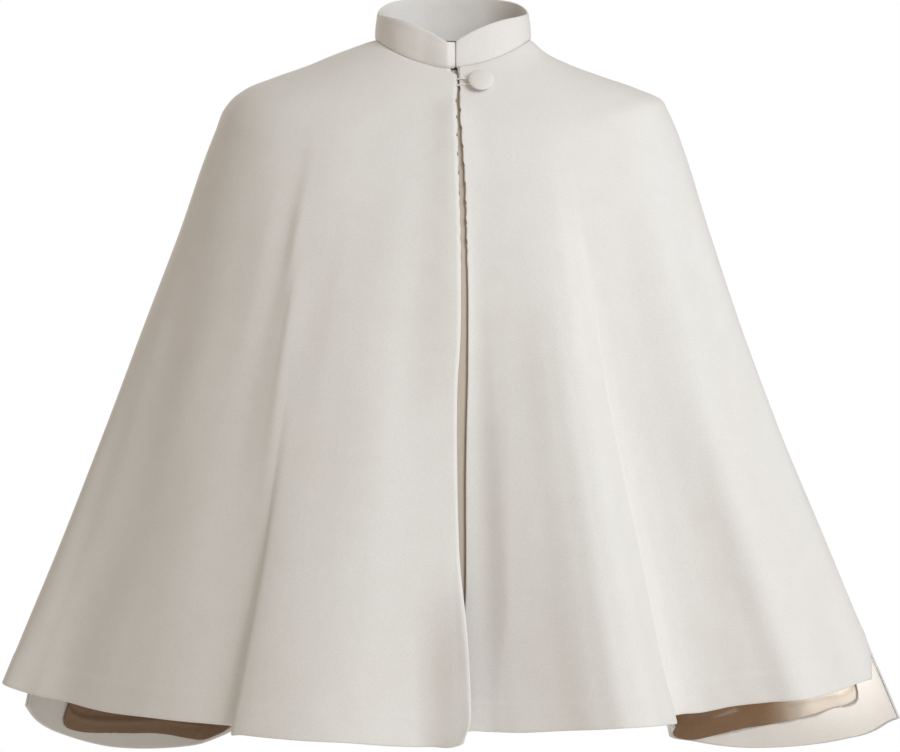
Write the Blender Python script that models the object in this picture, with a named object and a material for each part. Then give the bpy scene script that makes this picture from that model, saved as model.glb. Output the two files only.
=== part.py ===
"""Short wool cape with a stand collar, worn and hollow, as Blender 4.5 solids.

Lengths in the tables are in millimetres, +X to the right as seen from the front, the front faces -Y,
+Z is up. The origin is the middle of the neck, level with the neck seam at the shoulders.
An angle goes round the wearer: 0 at the front, 90 at +X, 180 at the back.
"""
import math
from collections import namedtuple

import bmesh
import bpy
from mathutils import Vector

MM = 0.001
COLLECTION = "wool_cape"

# Cloth walls and the gaps that keep neighbours apart
WOOL = 2.2
FACING = 1.4
LINING = 1.0
GAP = 0.3
SEAM = 0.15

# Where the folds start below the neck seam, and how fast they open towards the hem
FOLD_START = 60.0
FOLD_POWER = 1.15
VENT_START = 500.0
VENT_POWER = 1.6
VENT_BLEND = 4.0
SQUARENESS = 0.03

# Fitted form under the folds: one row for each level, from the neck seam down to the hem
Section = namedtuple("Section", "name side_z left right front front_z back back_z")
SECTIONS = [
    Section("neck_seam", 3, 75, 81, 62, -30, 62, 11),
    Section("neck_root", -11, 113, 97, 70, -42, 76, -2),
    Section("slope", -23, 142, 122, 79, -56, 88, -16),
    Section("shoulder_top", -35, 176, 155, 88, -72, 98, -32),
    Section("shoulder_round", -47, 205, 189, 97, -90, 107, -50),
    Section("shoulder_edge", -59, 220, 213, 104, -108, 114, -70),
    Section("shoulder_corner", -67, 226, 217, 108, -122, 118, -86),
    Section("upper_arm", -87, 234, 226, 115, -148, 123, -112),
    Section("chest", -107, 242, 233, 121, -172, 127, -138),
    Section("bust", -187, 270, 258, 136, -250, 136, -222),
    Section("waist", -287, 308, 292, 146, -345, 147, -325),
    Section("hip", -387, 346, 330, 154, -440, 158, -428),
    Section("thigh", -487, 386, 372, 161, -535, 170, -530),
    Section("low", -587, 428, 414, 168, -630, 183, -640),
    Section("hem", -636, 448, 437, 172, -677, 190, -700),
]
COLUMNS = ("side_z", "left", "right", "front", "front_z", "back", "back_z")

# Hem of the folded cloth: one row for each fold line that runs from the shoulder to the hem
Fold = namedtuple("Fold", "name angle x y z start")
FRONT_FOLDS = [
    Fold("left_seam", -105.0, -437, 48, -641, 560),
    Fold("left_tip", -90.0, -448, 6, -640, 300),
    Fold("left_round", -71.0, -415, -16, -649, FOLD_START),
    Fold("left_side_turn", -59.0, -378, -38, -654, FOLD_START),
    Fold("left_side_bulge", -50.0, -337, -70, -660, FOLD_START),
    Fold("left_side_slope", -42.5, -292, -101, -662, FOLD_START),
    Fold("left_side_ridge", -37.0, -252, -121, -664, FOLD_START),
    Fold("left_side_rise", -34.0, -226, -131, -665, 150),
    Fold("left_hidden", -31.8, -208, -138, -666, 220),
    Fold("left_valley", -29.9, -204, -143, -669, 220),
    Fold("left_lip", -28.0, -208, -151, -673, 180),
    Fold("left_lip_back", -25.6, -199, -159, -672, 100),
    Fold("left_turn", -22.4, -178, -169, -673, FOLD_START),
    Fold("left_flat", -17.8, -141, -179, -675, FOLD_START),
    Fold("left_cheek", -12.0, -96, -181, -677, FOLD_START),
    Fold("left_ridge", -6.4, -51, -174, -681, 200),
    Fold("left_roll", -2.3, -19, -168, -682, 260),
    Fold("left_corner", 0.5, 4, -164, -680, 260),
    Fold("opening", 1.5, 11, -161, -673, 260),
    Fold("right_corner", 2.4, 18, -158, -670, 200),
    Fold("right_near", 5.0, 38, -153, -670, FOLD_START),
    Fold("right_hollow", 8.7, 66, -159, -670, FOLD_START),
    Fold("right_slope", 13.6, 104, -170, -667, FOLD_START),
    Fold("right_ridge", 18.6, 142, -184, -664, FOLD_START),
    Fold("right_brow", 22.4, 170, -187, -662, FOLD_START),
    Fold("right_turn", 25.4, 195, -173, -662, FOLD_START),
    Fold("right_lip_back", 27.6, 210, -142, -664, FOLD_START),
    Fold("right_lip", 29.6, 218, -114, -666, FOLD_START),
    Fold("right_valley", 31.2, 212, -95, -663, FOLD_START),
    Fold("right_hidden", 33.0, 224, -84, -661, FOLD_START),
    Fold("right_side_rise", 35.6, 243, -79, -660, FOLD_START),
    Fold("right_side_swell", 39.4, 271, -82, -654, FOLD_START),
    Fold("right_side_ridge", 45.0, 306, -90, -649, FOLD_START),
    Fold("right_side_bulge", 51.5, 338, -97, -646, FOLD_START),
    Fold("right_side_turn", 60.0, 372, -70, -642, FOLD_START),
    Fold("right_round", 72.0, 402, -30, -637, 200),
    Fold("right_tip", 92.0, 422, 2, -635, 590),
]
BACK_FOLDS = [
    Fold("right_seam", 92.0, 453, 24, -677, 560),
    Fold("right_back_edge", 100.0, 447, 52, -684, 420),
    Fold("right_back_round", 107.5, 437, 88, -697, 200),
    Fold("right_flute_side", 115.5, 415, 118, -708, FOLD_START),
    Fold("right_flute_turn", 124.0, 386, 150, -718, FOLD_START),
    Fold("right_flute_low", 131.0, 349, 176, -725, FOLD_START),
    Fold("right_flute_ridge", 137.0, 309, 190, -727, FOLD_START),
    Fold("right_flute_roll", 143.0, 256, 180, -719, FOLD_START),
    Fold("right_flute_edge", 147.0, 231, 157, -712, FOLD_START),
    Fold("right_back_wall", 150.5, 231, 130, -700, FOLD_START),
    Fold("right_back_valley", 154.5, 212, 116, -692, FOLD_START),
    Fold("right_mid_rise", 160.0, 168, 146, -694, FOLD_START),
    Fold("right_mid_ridge", 167.0, 106, 184, -699, FOLD_START),
    Fold("centre_valley", 176.5, 28, 163, -696, FOLD_START),
    Fold("centre_rise", 184.0, -38, 168, -696, FOLD_START),
    Fold("left_mid_ridge", 193.5, -112, 190, -699, FOLD_START),
    Fold("left_mid_rise", 201.5, -172, 164, -696, FOLD_START),
    Fold("left_back_valley", 207.0, -210, 136, -694, FOLD_START),
    Fold("left_flute_edge", 212.0, -236, 164, -710, FOLD_START),
    Fold("left_flute_roll", 217.0, -265, 189, -723, FOLD_START),
    Fold("left_flute_ridge", 222.5, -306, 194, -728, FOLD_START),
    Fold("left_flute_low", 229.5, -353, 167, -724, FOLD_START),
    Fold("left_flute_turn", 237.5, -395, 130, -709, FOLD_START),
    Fold("left_back_round", 246.0, -421, 92, -691, 300),
    Fold("left_seam", 255.0, -433, 60, -669, 560),
]
LEFT_EDGE_COLUMN = -2.3
RIGHT_EDGE_COLUMN = 5.0
LEFT_FOLD_SEAM = -29.9
RIGHT_FOLD_SEAM = 31.2
LEFT_SIDE_SEAM = -105.0
RIGHT_SIDE_SEAM = 92.0

# Front opening: x of the two cut edges at each drop below the neck seam, measured at the surface
Opening = namedtuple("Opening", "drop left right")
OPENING = [
    Opening(30, 6.4, 9.4),
    Opening(50, 6.6, 9.9),
    Opening(65, 5.4, 10.2),
    Opening(80, 5.6, 10.8),
    Opening(110, 6.2, 12.9),
    Opening(148, 7.3, 15.3),
    Opening(193, 9.7, 15.7),
    Opening(310, 10.7, 16.6),
    Opening(340, 7.5, 16.8),
    Opening(377, 6.2, 15.7),
    Opening(435, 6.7, 14.9),
    Opening(508, 9.0, 14.6),
    Opening(550, 9.9, 14.2),
    Opening(608, 10.4, 12.3),
    Opening(640, 11.4, 12.0),
    Opening(677, 11.4, 12.0),
]

# Rows of the panels' grids: down the cloth from the neck seam along the shoulder, then up from the hem
ROWS_DOWN = (0, 18, 45, 80, 112, 138, 156, 176, 205, 260, 330, 400, 470, 540, 610)
FACING_HEIGHT = 36.0
ROWS_ABOVE_HEM = (82.0, FACING_HEIGHT, FACING_HEIGHT / 2, 0.0)

# Stand collar: one row for each angle from the front to the back, mirrored on the other side
Collar = namedtuple("Collar", "angle rim_z lean")
COLLAR = [
    Collar(2, -7, 2.0),
    Collar(16, 4, 2.5),
    Collar(34, 14, 3.0),
    Collar(60, 22, 3.0),
    Collar(90, 29, 2.5),
    Collar(130, 45, 1.5),
    Collar(180, 54, 0.0),
]
COLLAR_WALL = 3.0
COLLAR_ENDS = (2.2, 4.0)
COLLAR_STEPS = 44
COLLAR_HEIGHTS = (0.0, 0.12, 0.4, 0.7, 0.93, 1.0)

# Strip behind the opening, and how far it reaches past each front edge
UNDERLAP_REACH = 13.0
UNDERLAP_WALL = 1.8
UNDERLAP_TOP = 4.0
UNDERLAP_END = 14.0

# Lining of the back: how far its edges stay inside the panel, and its lower edge above the hem
BACK_MARGIN = 3.0
LINING_ROWS = (45, 112, 156, 205, 330, 470, 610)
LiningHem = namedtuple("LiningHem", "angle above_hem")
LINING_HEM = [
    LiningHem(92, 32),
    LiningHem(124, 27),
    LiningHem(137, 15),
    LiningHem(147, 5),
    LiningHem(176, 10),
    LiningHem(212, 5),
    LiningHem(222, 12),
    LiningHem(237, 15),
    LiningHem(255, 18),
]

# Button and its loop
BUTTON_X = 30.0
BUTTON_DROP = 47.0
BUTTON_RADIUS = 12.5
BUTTON_HEIGHT = 5.2
SHANK_RADIUS = 2.6
SHANK_HEIGHT = 3.0
LOOP_RADIUS = 1.0
LOOP_RISE = 1.4
LOOP_STRANDS = (("loop_upper", 4.2), ("loop_lower", -2.2))

# Resolution
COLUMN_WIDTH = 27.0
NORMAL_STEP = 0.02

COLOURS = {
    "wool": ((0.72, 0.68, 0.62), 0.92),
    "underlap": ((0.55, 0.47, 0.39), 0.92),
    "satin": ((0.30, 0.20, 0.12), 0.45),
    "thread": ((0.78, 0.74, 0.66), 0.7),
}


def hermite(knots, values, at):
    """A smooth curve through the values, read at one place; it stays level past its ends."""
    last = len(knots) - 1
    if at <= knots[0]:
        return values[0]
    if at >= knots[last]:
        return values[last]
    i = 0
    while knots[i + 1] < at:
        i += 1

    def slope(k):
        if k == 0:
            return (values[1] - values[0]) / (knots[1] - knots[0])
        if k == last:
            return (values[last] - values[last - 1]) / (knots[last] - knots[last - 1])
        before = knots[k] - knots[k - 1]
        after = knots[k + 1] - knots[k]
        rise_before = (values[k] - values[k - 1]) / before
        rise_after = (values[k + 1] - values[k]) / after
        return (rise_before * after + rise_after * before) / (before + after)

    width = knots[i + 1] - knots[i]
    t = (at - knots[i]) / width
    return (
        (2 * t**3 - 3 * t**2 + 1) * values[i]
        + (t**3 - 2 * t**2 + t) * width * slope(i)
        + (3 * t**2 - 2 * t**3) * values[i + 1]
        + (t**3 - t**2) * width * slope(i + 1)
    )


def lengths_down():
    """Distance down the cloth from the neck seam to each section, along the shoulder."""
    total = [0.0]
    for above, below in zip(SECTIONS, SECTIONS[1:]):
        out = ((below.left - above.left) + (below.right - above.right)) / 2
        total.append(total[-1] + math.hypot(out, below.side_z - above.side_z))
    return total


DOWN = lengths_down()
CLOTH_LENGTH = DOWN[-1]
PANEL_ROWS = ROWS_DOWN + tuple(CLOTH_LENGTH - above for above in ROWS_ABOVE_HEM)
TRACKS = {column: [getattr(section, column) for section in SECTIONS] for column in COLUMNS}


def level(down):
    """The fitted form's sizes at a distance down the cloth."""
    return {column: hermite(DOWN, TRACKS[column], down) for column in COLUMNS}


def fitted(sizes, angle):
    """A point of the fitted form, without folds."""
    across, along = math.sin(math.radians(angle)), math.cos(math.radians(angle))
    half_width = sizes["right"] if across > 0 else sizes["left"]
    if along > 0:
        depth, end_z = sizes["front"], sizes["front_z"]
    else:
        depth, end_z = sizes["back"], sizes["back_z"]
    fuller = 1 + SQUARENESS * math.sin(math.radians(2 * angle)) ** 2
    z = sizes["side_z"] + (end_z - sizes["side_z"]) * along**2
    return Vector((half_width * across * fuller, -depth * along * fuller, z))


HEM = level(CLOTH_LENGTH)


class Cloth:
    """The folded cloth between its first and last fold line."""

    def __init__(self, folds):
        self.folds = folds
        self.angles = [fold.angle for fold in folds]
        self.offsets = [Vector((f.x, f.y, f.z)) - fitted(HEM, f.angle) for f in folds]

    def point(self, angle, down):
        sizes = level(min(down, CLOTH_LENGTH))
        drop = -sizes["side_z"]
        moves = []
        for fold, offset in zip(self.folds, self.offsets):
            open_share = max(0.0, (drop - fold.start) / (-HEM["side_z"] - fold.start))
            power = FOLD_POWER if fold.start < VENT_START else VENT_POWER
            moves.append(offset * open_share**power)
        at = [hermite(self.angles, [move[axis] for move in moves], angle) for axis in range(3)]
        return fitted(sizes, angle) + Vector(at)

    def normal(self, angle, down):
        """Out of the cloth, away from the wearer."""
        down = min(down, CLOTH_LENGTH)
        low, high = max(down - 1.0, 0.0), min(down + 1.0, CLOTH_LENGTH)
        around = self.point(angle + NORMAL_STEP, down) - self.point(angle - NORMAL_STEP, down)
        below = self.point(angle, high) - self.point(angle, low)
        return below.cross(around).normalized()

    def angle_at(self, x, down):
        """The angle near the front opening at which the cloth is at this x."""
        angle = 1.0
        for _ in range(6):
            here = self.point(angle, down).x
            step = self.point(angle + 0.1, down).x - here
            angle += 0.1 * (x - here) / step
        return angle


FRONT = Cloth(FRONT_FOLDS)
BACK = Cloth(BACK_FOLDS)


def wall_normal(cloth, angle, down):
    """The direction of a wall's thickness; panels that meet at a side seam share it down to the vent."""
    own = cloth.normal(angle, down)
    for front_angle, back_angle in ((LEFT_SIDE_SEAM, LEFT_SIDE_SEAM + 360), (RIGHT_SIDE_SEAM,) * 2):
        if angle != (front_angle if cloth is FRONT else back_angle):
            continue
        other = BACK if cloth is FRONT else FRONT
        other_angle = back_angle if cloth is FRONT else front_angle
        apart = (cloth.point(angle, down) - other.point(other_angle, down)).length
        share = max(0.0, 1 - apart / VENT_BLEND) / 2
        return own.lerp(other.normal(other_angle, down), share).normalized()
    return own


def opening_edge(down, side):
    """The angle of a front's cut edge at this distance down the cloth."""
    drop = -level(min(down, CLOTH_LENGTH))["front_z"]
    drops = [row.drop for row in OPENING]
    x = hermite(drops, [getattr(row, side) for row in OPENING], drop)
    return FRONT.angle_at(x, down)


def fold_columns(cloth, first, last):
    """Angles of a panel's columns: each fold line inside it, and steps between them."""
    inside = [a for a in cloth.angles if first + 0.4 < a < last - 0.4]
    stops = [first] + inside + [last]
    columns = []
    for start, end in zip(stops, stops[1:]):
        along_hem = cloth.point(end, CLOTH_LENGTH) - cloth.point(start, CLOTH_LENGTH)
        steps = math.ceil(along_hem.length / COLUMN_WIDTH)
        columns += [start + (end - start) * k / steps for k in range(steps)]
    return columns + [last]


def pull_ends(points, normals, pull):
    """Move a row's two end points in along their chords, so that a seam keeps a gap."""
    count = len(points)
    for end, inside in ((0, 1), (count - 1, count - 2)):
        share = pull / (points[inside] - points[end]).length
        points[end] = points[end].lerp(points[inside], share)
        normals[end] = normals[end].lerp(normals[inside], share).normalized()


def wall_grids(cloth, columns, rows, outer_depth, wall, pull=SEAM):
    """Outer and inner points of a wall under the cloth's outer face.

    columns gives the angles of a row, and rows the distances down the cloth for an angle.
    """
    outer, inner = [], []
    for row in range(len(rows(columns(0)[0]))):
        spots = [(angle, min(rows(angle)[row], CLOTH_LENGTH)) for angle in columns(row)]
        points = [cloth.point(angle, down) for angle, down in spots]
        normals = [wall_normal(cloth, angle, down) for angle, down in spots]
        if pull:
            pull_ends(points, normals, pull)
        outer.append([p - n * outer_depth for p, n in zip(points, normals)])
        inner.append([p - n * (outer_depth + wall) for p, n in zip(points, normals)])
    return outer, inner


def material(name, kind):
    """A plain finish for one piece, named after it."""
    colour, roughness = COLOURS[kind]
    finish = bpy.data.materials.new(name)
    finish.use_nodes = True
    shader = finish.node_tree.nodes["Principled BSDF"]
    shader.inputs["Base Color"].default_value = (*colour, 1.0)
    shader.inputs["Roughness"].default_value = roughness
    shader.inputs["Metallic"].default_value = 0.0
    return finish


def finish_mesh(name, mesh, kind):
    mesh.shade_smooth()
    mesh.set_sharp_from_angle(angle=math.radians(50))
    piece = bpy.data.objects.new(name, mesh)
    piece.data.materials.append(material(name, kind))
    PIECES.objects.link(piece)
    return piece


def add_wall(name, outer, inner, kind):
    """One closed wall from an outer and an inner grid, joined round their rims."""
    work = bmesh.new()
    rows, columns = len(outer), len(outer[0])
    grids = [
        [[work.verts.new(point * MM) for point in row] for row in grid] for grid in (outer, inner)
    ]
    skin, back = grids
    for i in range(rows - 1):
        for j in range(columns - 1):
            work.faces.new((skin[i][j], skin[i + 1][j], skin[i + 1][j + 1]))
            work.faces.new((skin[i][j], skin[i + 1][j + 1], skin[i][j + 1]))
            work.faces.new((back[i][j], back[i + 1][j + 1], back[i + 1][j]))
            work.faces.new((back[i][j], back[i][j + 1], back[i + 1][j + 1]))
    for i in range(rows - 1):
        work.faces.new((skin[i][0], back[i][0], back[i + 1][0], skin[i + 1][0]))
        work.faces.new((skin[i][-1], skin[i + 1][-1], back[i + 1][-1], back[i][-1]))
    for j in range(columns - 1):
        work.faces.new((skin[0][j], skin[0][j + 1], back[0][j + 1], back[0][j]))
        work.faces.new((skin[-1][j], back[-1][j], back[-1][j + 1], skin[-1][j + 1]))
    mesh = bpy.data.meshes.new(name)
    work.to_mesh(mesh)
    work.free()
    return finish_mesh(name, mesh, kind)


def build_panel(name, cloth, columns):
    def rows(_angle):
        return PANEL_ROWS

    outer, inner = wall_grids(cloth, columns, rows, 0.0, WOOL)
    add_wall(name, outer, inner, "wool")


def build_fronts():
    """Centre fronts, from the cut edge to the seam in the first fold's valley."""
    left = fold_columns(FRONT, LEFT_FOLD_SEAM, LEFT_EDGE_COLUMN)
    right = fold_columns(FRONT, RIGHT_EDGE_COLUMN, RIGHT_FOLD_SEAM)

    def left_columns(row):
        edge = opening_edge(PANEL_ROWS[row], "left")
        start = left[-1]
        return left[:-1] + [start + (edge - start) * share for share in (0.0, 0.3, 0.6, 0.8, 1.0)]

    def right_columns(row):
        edge = opening_edge(PANEL_ROWS[row], "right")
        end = right[0]
        return [edge + (end - edge) * share for share in (0.0, 0.2, 0.6, 1.0)] + right[1:]

    build_panel("left_front", FRONT, left_columns)
    build_panel("right_front", FRONT, right_columns)


def build_sides_and_back():
    left = fold_columns(FRONT, LEFT_SIDE_SEAM, LEFT_FOLD_SEAM)
    right = fold_columns(FRONT, RIGHT_FOLD_SEAM, RIGHT_SIDE_SEAM)
    back = fold_columns(BACK, RIGHT_SIDE_SEAM, BACK_FOLDS[-1].angle)
    build_panel("left_side", FRONT, lambda row: left)
    build_panel("right_side", FRONT, lambda row: right)
    build_panel("back", BACK, lambda row: back)


def build_back_inside():
    """Hem facing on the back's inner face, and the lining that hangs over its upper edge."""
    columns = fold_columns(BACK, RIGHT_SIDE_SEAM, BACK_FOLDS[-1].angle)
    facing = [down for down in PANEL_ROWS if down > CLOTH_LENGTH - FACING_HEIGHT - 1]

    def facing_rows(_angle):
        return facing

    def lining_rows(angle):
        above = hermite([r.angle for r in LINING_HEM], [r.above_hem for r in LINING_HEM], angle)
        return LINING_ROWS + (facing[0], CLOTH_LENGTH - above)

    margin = BACK_MARGIN
    depth = WOOL + GAP
    outer, inner = wall_grids(BACK, lambda row: columns, facing_rows, depth, FACING, margin)
    add_wall("back_facing", outer, inner, "wool")
    depth += FACING + GAP
    outer, inner = wall_grids(BACK, lambda row: columns, lining_rows, depth, LINING, margin)
    add_wall("back_lining", outer, inner, "satin")


def build_underlap():
    """Strip of cloth behind the front opening."""
    stop = CLOTH_LENGTH - UNDERLAP_END
    rows = [down for down in PANEL_ROWS if UNDERLAP_TOP < down < stop]
    rows = [UNDERLAP_TOP] + rows + [stop]

    def columns(row):
        down = rows[row]
        left = opening_edge(down, "left")
        right = opening_edge(down, "right")
        step = FRONT.point(left + 0.1, down).x - FRONT.point(left, down).x
        reach = UNDERLAP_REACH * 0.1 / step
        start, end = left - reach, right + reach
        return [start + (end - start) * k / 6 for k in range(7)]

    depth = WOOL + GAP
    outer, inner = wall_grids(FRONT, columns, lambda angle: rows, depth, UNDERLAP_WALL, 0.0)
    add_wall("underlap", outer, inner, "underlap")


def collar_value(angle, column):
    turned = abs((angle + 180) % 360 - 180)
    return hermite([row.angle for row in COLLAR], [getattr(row, column) for row in COLLAR], turned)


def build_collar():
    """Stand collar: a band that carries on from the neck seam and turns upright."""
    first, last = COLLAR_ENDS[1], 360 + COLLAR_ENDS[0]
    outer = [[] for _ in COLLAR_HEIGHTS]
    inner = [[] for _ in COLLAR_HEIGHTS]
    for k in range(COLLAR_STEPS + 1):
        angle = first + (last - first) * k / COLLAR_STEPS
        cloth = FRONT
        wrapped = angle if angle < RIGHT_SIDE_SEAM else angle - 360
        if RIGHT_SIDE_SEAM < angle < BACK_FOLDS[-1].angle:
            cloth, wrapped = BACK, angle
        seam = cloth.point(wrapped, 0.0)
        normal = cloth.normal(wrapped, 0.0)
        uphill = (cloth.point(wrapped, 0.0) - cloth.point(wrapped, 2.0)).normalized()
        across = Vector((math.sin(math.radians(angle)), -math.cos(math.radians(angle)), 0))
        foot = seam + uphill * GAP
        rim = Vector((seam.x, seam.y, collar_value(angle, "rim_z"))) - across * collar_value(angle, "lean")
        for row, share in enumerate(COLLAR_HEIGHTS):
            point = foot.lerp(rim, share)
            inward = normal.lerp(across, min(1.0, share / COLLAR_HEIGHTS[2])).normalized()
            trim = 0.4 if share == 1.0 else 0.0
            outer[row].append(point - across * trim)
            inner[row].append(point - inward * (COLLAR_WALL - trim))
    outer.reverse()
    inner.reverse()
    add_wall("collar", outer, inner, "wool")


def button_place():
    """Where the button sits on the right front, and which way it faces."""
    down = 0.0
    while -FRONT.point(FRONT.angle_at(BUTTON_X, down), down).z < BUTTON_DROP:
        down += 0.5
    angle = FRONT.angle_at(BUTTON_X, down)
    return FRONT.point(angle, down), FRONT.normal(angle, down)


def turned_piece(name, profile, place, facing, steps, kind):
    """A piece turned about its own axis, from a profile of radius and height."""
    work = bmesh.new()
    corners = [work.verts.new((radius * MM, 0, height * MM)) for radius, height in profile]
    edges = [work.edges.new(pair) for pair in zip(corners, corners[1:])]
    bmesh.ops.spin(
        work,
        geom=corners + edges,
        cent=(0, 0, 0),
        axis=(0, 0, 1),
        angle=math.tau,
        steps=steps,
        use_duplicate=False,
    )
    bmesh.ops.remove_doubles(work, verts=work.verts, dist=1e-6)
    bmesh.ops.recalc_face_normals(work, faces=work.faces)
    turn = facing.to_track_quat("Z", "Y").to_matrix().to_4x4()
    turn.translation = place * MM
    bmesh.ops.transform(work, matrix=turn, verts=work.verts)
    mesh = bpy.data.meshes.new(name)
    work.to_mesh(mesh)
    work.free()
    return finish_mesh(name, mesh, kind)


def build_button():
    """Cloth-covered dome on a short thread shank."""
    place, facing = button_place()
    base = place + facing * GAP
    shank = [(0, 0), (SHANK_RADIUS, 0), (SHANK_RADIUS, SHANK_HEIGHT), (0, SHANK_HEIGHT)]
    turned_piece("button_shank", shank, base, facing, 10, "thread")
    r, h = BUTTON_RADIUS, BUTTON_HEIGHT
    dome = [(0, 0), (0.8 * r, 0), (0.97 * r, 0.18 * h), (r, 0.38 * h)]
    dome += [(r * math.cos(a), h * (0.38 + 0.62 * math.sin(a))) for a in (0.45, 0.9, 1.25)]
    dome += [(0, h)]
    turned_piece("button", dome, base + facing * (SHANK_HEIGHT + GAP), facing, 24, "wool")


def build_loop():
    """Two strands that come off the left front's edge and meet the button's shank."""
    place, facing = button_place()
    for name, height in LOOP_STRANDS:
        down = 0.0
        target = place.z + height
        while FRONT.point(opening_edge(down, "left"), down).z > target:
            down += 0.5
        edge = opening_edge(down, "left")
        route = []
        for share in (0.0, 0.12, 0.3, 0.55, 0.8, 1.0):
            side = FRONT.angle_at(FRONT.point(edge, down).x - 3, down)
            start = FRONT.point(side, down)
            lift = LOOP_RADIUS + GAP + (LOOP_RISE - LOOP_RADIUS - GAP) * min(1.0, share * 4)
            end = place + Vector((-SHANK_RADIUS - LOOP_RADIUS - GAP, 0, 0.55 * height))
            point = start.lerp(end, share)
            sag = FRONT.point(FRONT.angle_at(point.x, down), down)
            route.append(Vector((point.x, min(point.y, sag.y), point.z)) + facing * lift)
        curve = bpy.data.curves.new(name, "CURVE")
        curve.dimensions = "3D"
        curve.bevel_depth = LOOP_RADIUS * MM
        curve.bevel_resolution = 2
        curve.use_fill_caps = True
        spline = curve.splines.new("POLY")
        spline.points.add(len(route) - 1)
        for knot, point in zip(spline.points, route):
            knot.co = (*(point * MM), 1.0)
        strand = bpy.data.objects.new(name, curve)
        strand.data.materials.append(material(name, "thread"))
        PIECES.objects.link(strand)


for leftover in list(bpy.data.objects):
    bpy.data.objects.remove(leftover, do_unlink=True)
PIECES = bpy.data.collections.new(COLLECTION)
bpy.context.scene.collection.children.link(PIECES)

build_fronts()
build_sides_and_back()
build_back_inside()
build_underlap()
build_collar()
build_button()
build_loop()
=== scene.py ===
"""Short wool cape with a stand collar: cloth, lining, button and studio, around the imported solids.

The file is laid out as a Blender add-on and is run as a script. The sections and folds of the cloth
have the values of the part's source; the front opening's edges and the lining's hem have their own.
Sizes are in millimetres: +X to the right as seen from the front, the front faces -Y, +Z up, and an
angle goes round the cape's upright axis, 0 at the front, 90 at +X and 180 at the back.
"""
import math
from collections import namedtuple

import bmesh
import bpy
import numpy as np
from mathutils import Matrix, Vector


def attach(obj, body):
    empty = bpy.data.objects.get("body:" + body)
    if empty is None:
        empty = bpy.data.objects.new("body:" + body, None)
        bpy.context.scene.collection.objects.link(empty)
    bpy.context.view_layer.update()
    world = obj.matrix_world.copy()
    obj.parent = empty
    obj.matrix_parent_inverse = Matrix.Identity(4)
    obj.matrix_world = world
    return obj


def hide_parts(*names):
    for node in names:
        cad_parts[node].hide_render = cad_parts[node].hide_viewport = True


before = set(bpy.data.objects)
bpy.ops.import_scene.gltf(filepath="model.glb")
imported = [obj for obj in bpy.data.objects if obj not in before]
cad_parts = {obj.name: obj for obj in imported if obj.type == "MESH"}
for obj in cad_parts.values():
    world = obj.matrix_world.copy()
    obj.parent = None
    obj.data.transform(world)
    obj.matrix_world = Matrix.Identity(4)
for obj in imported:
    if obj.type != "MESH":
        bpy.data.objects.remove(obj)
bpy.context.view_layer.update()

bl_info = {
    "name": "Short wool cape",
    "version": (1, 0, 0),
    "blender": (4, 5, 0),
    "location": "View3D > Sidebar > Cape",
    "description": "Builds a short cape of cream wool melton with a stand collar",
    "category": "Add Mesh",
}

MM = 0.001

# ---------------------------------------------------------------- the cape's form, in millimetres

FOLD_START = 60.0
FOLD_POWER = 1.15
VENT_START = 500.0
VENT_POWER = 1.6
VENT_BLEND = 4.0
SQUARENESS = 0.03

# Level curves of the form without folds: z at the sides, half widths, and depth and z of the ends
Section = namedtuple("Section", "side_z left right front front_z back back_z")
SECTIONS = [
    Section(3, 75, 81, 62, -30, 62, 11),  # neck seam
    Section(-11, 113, 97, 70, -42, 76, -2),
    Section(-23, 142, 122, 79, -56, 88, -16),
    Section(-35, 176, 155, 88, -72, 98, -32),
    Section(-47, 205, 189, 97, -90, 107, -50),
    Section(-59, 220, 213, 104, -108, 114, -70),
    Section(-67, 226, 217, 108, -122, 118, -86),  # shoulder's corner
    Section(-87, 234, 226, 115, -148, 123, -112),
    Section(-107, 242, 233, 121, -172, 127, -138),
    Section(-187, 270, 258, 136, -250, 136, -222),
    Section(-287, 308, 292, 146, -345, 147, -325),
    Section(-387, 346, 330, 154, -440, 158, -428),
    Section(-487, 386, 372, 161, -535, 170, -530),
    Section(-587, 428, 414, 168, -630, 183, -640),
    Section(-636, 448, 437, 172, -677, 190, -700),  # hem
]

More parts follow.
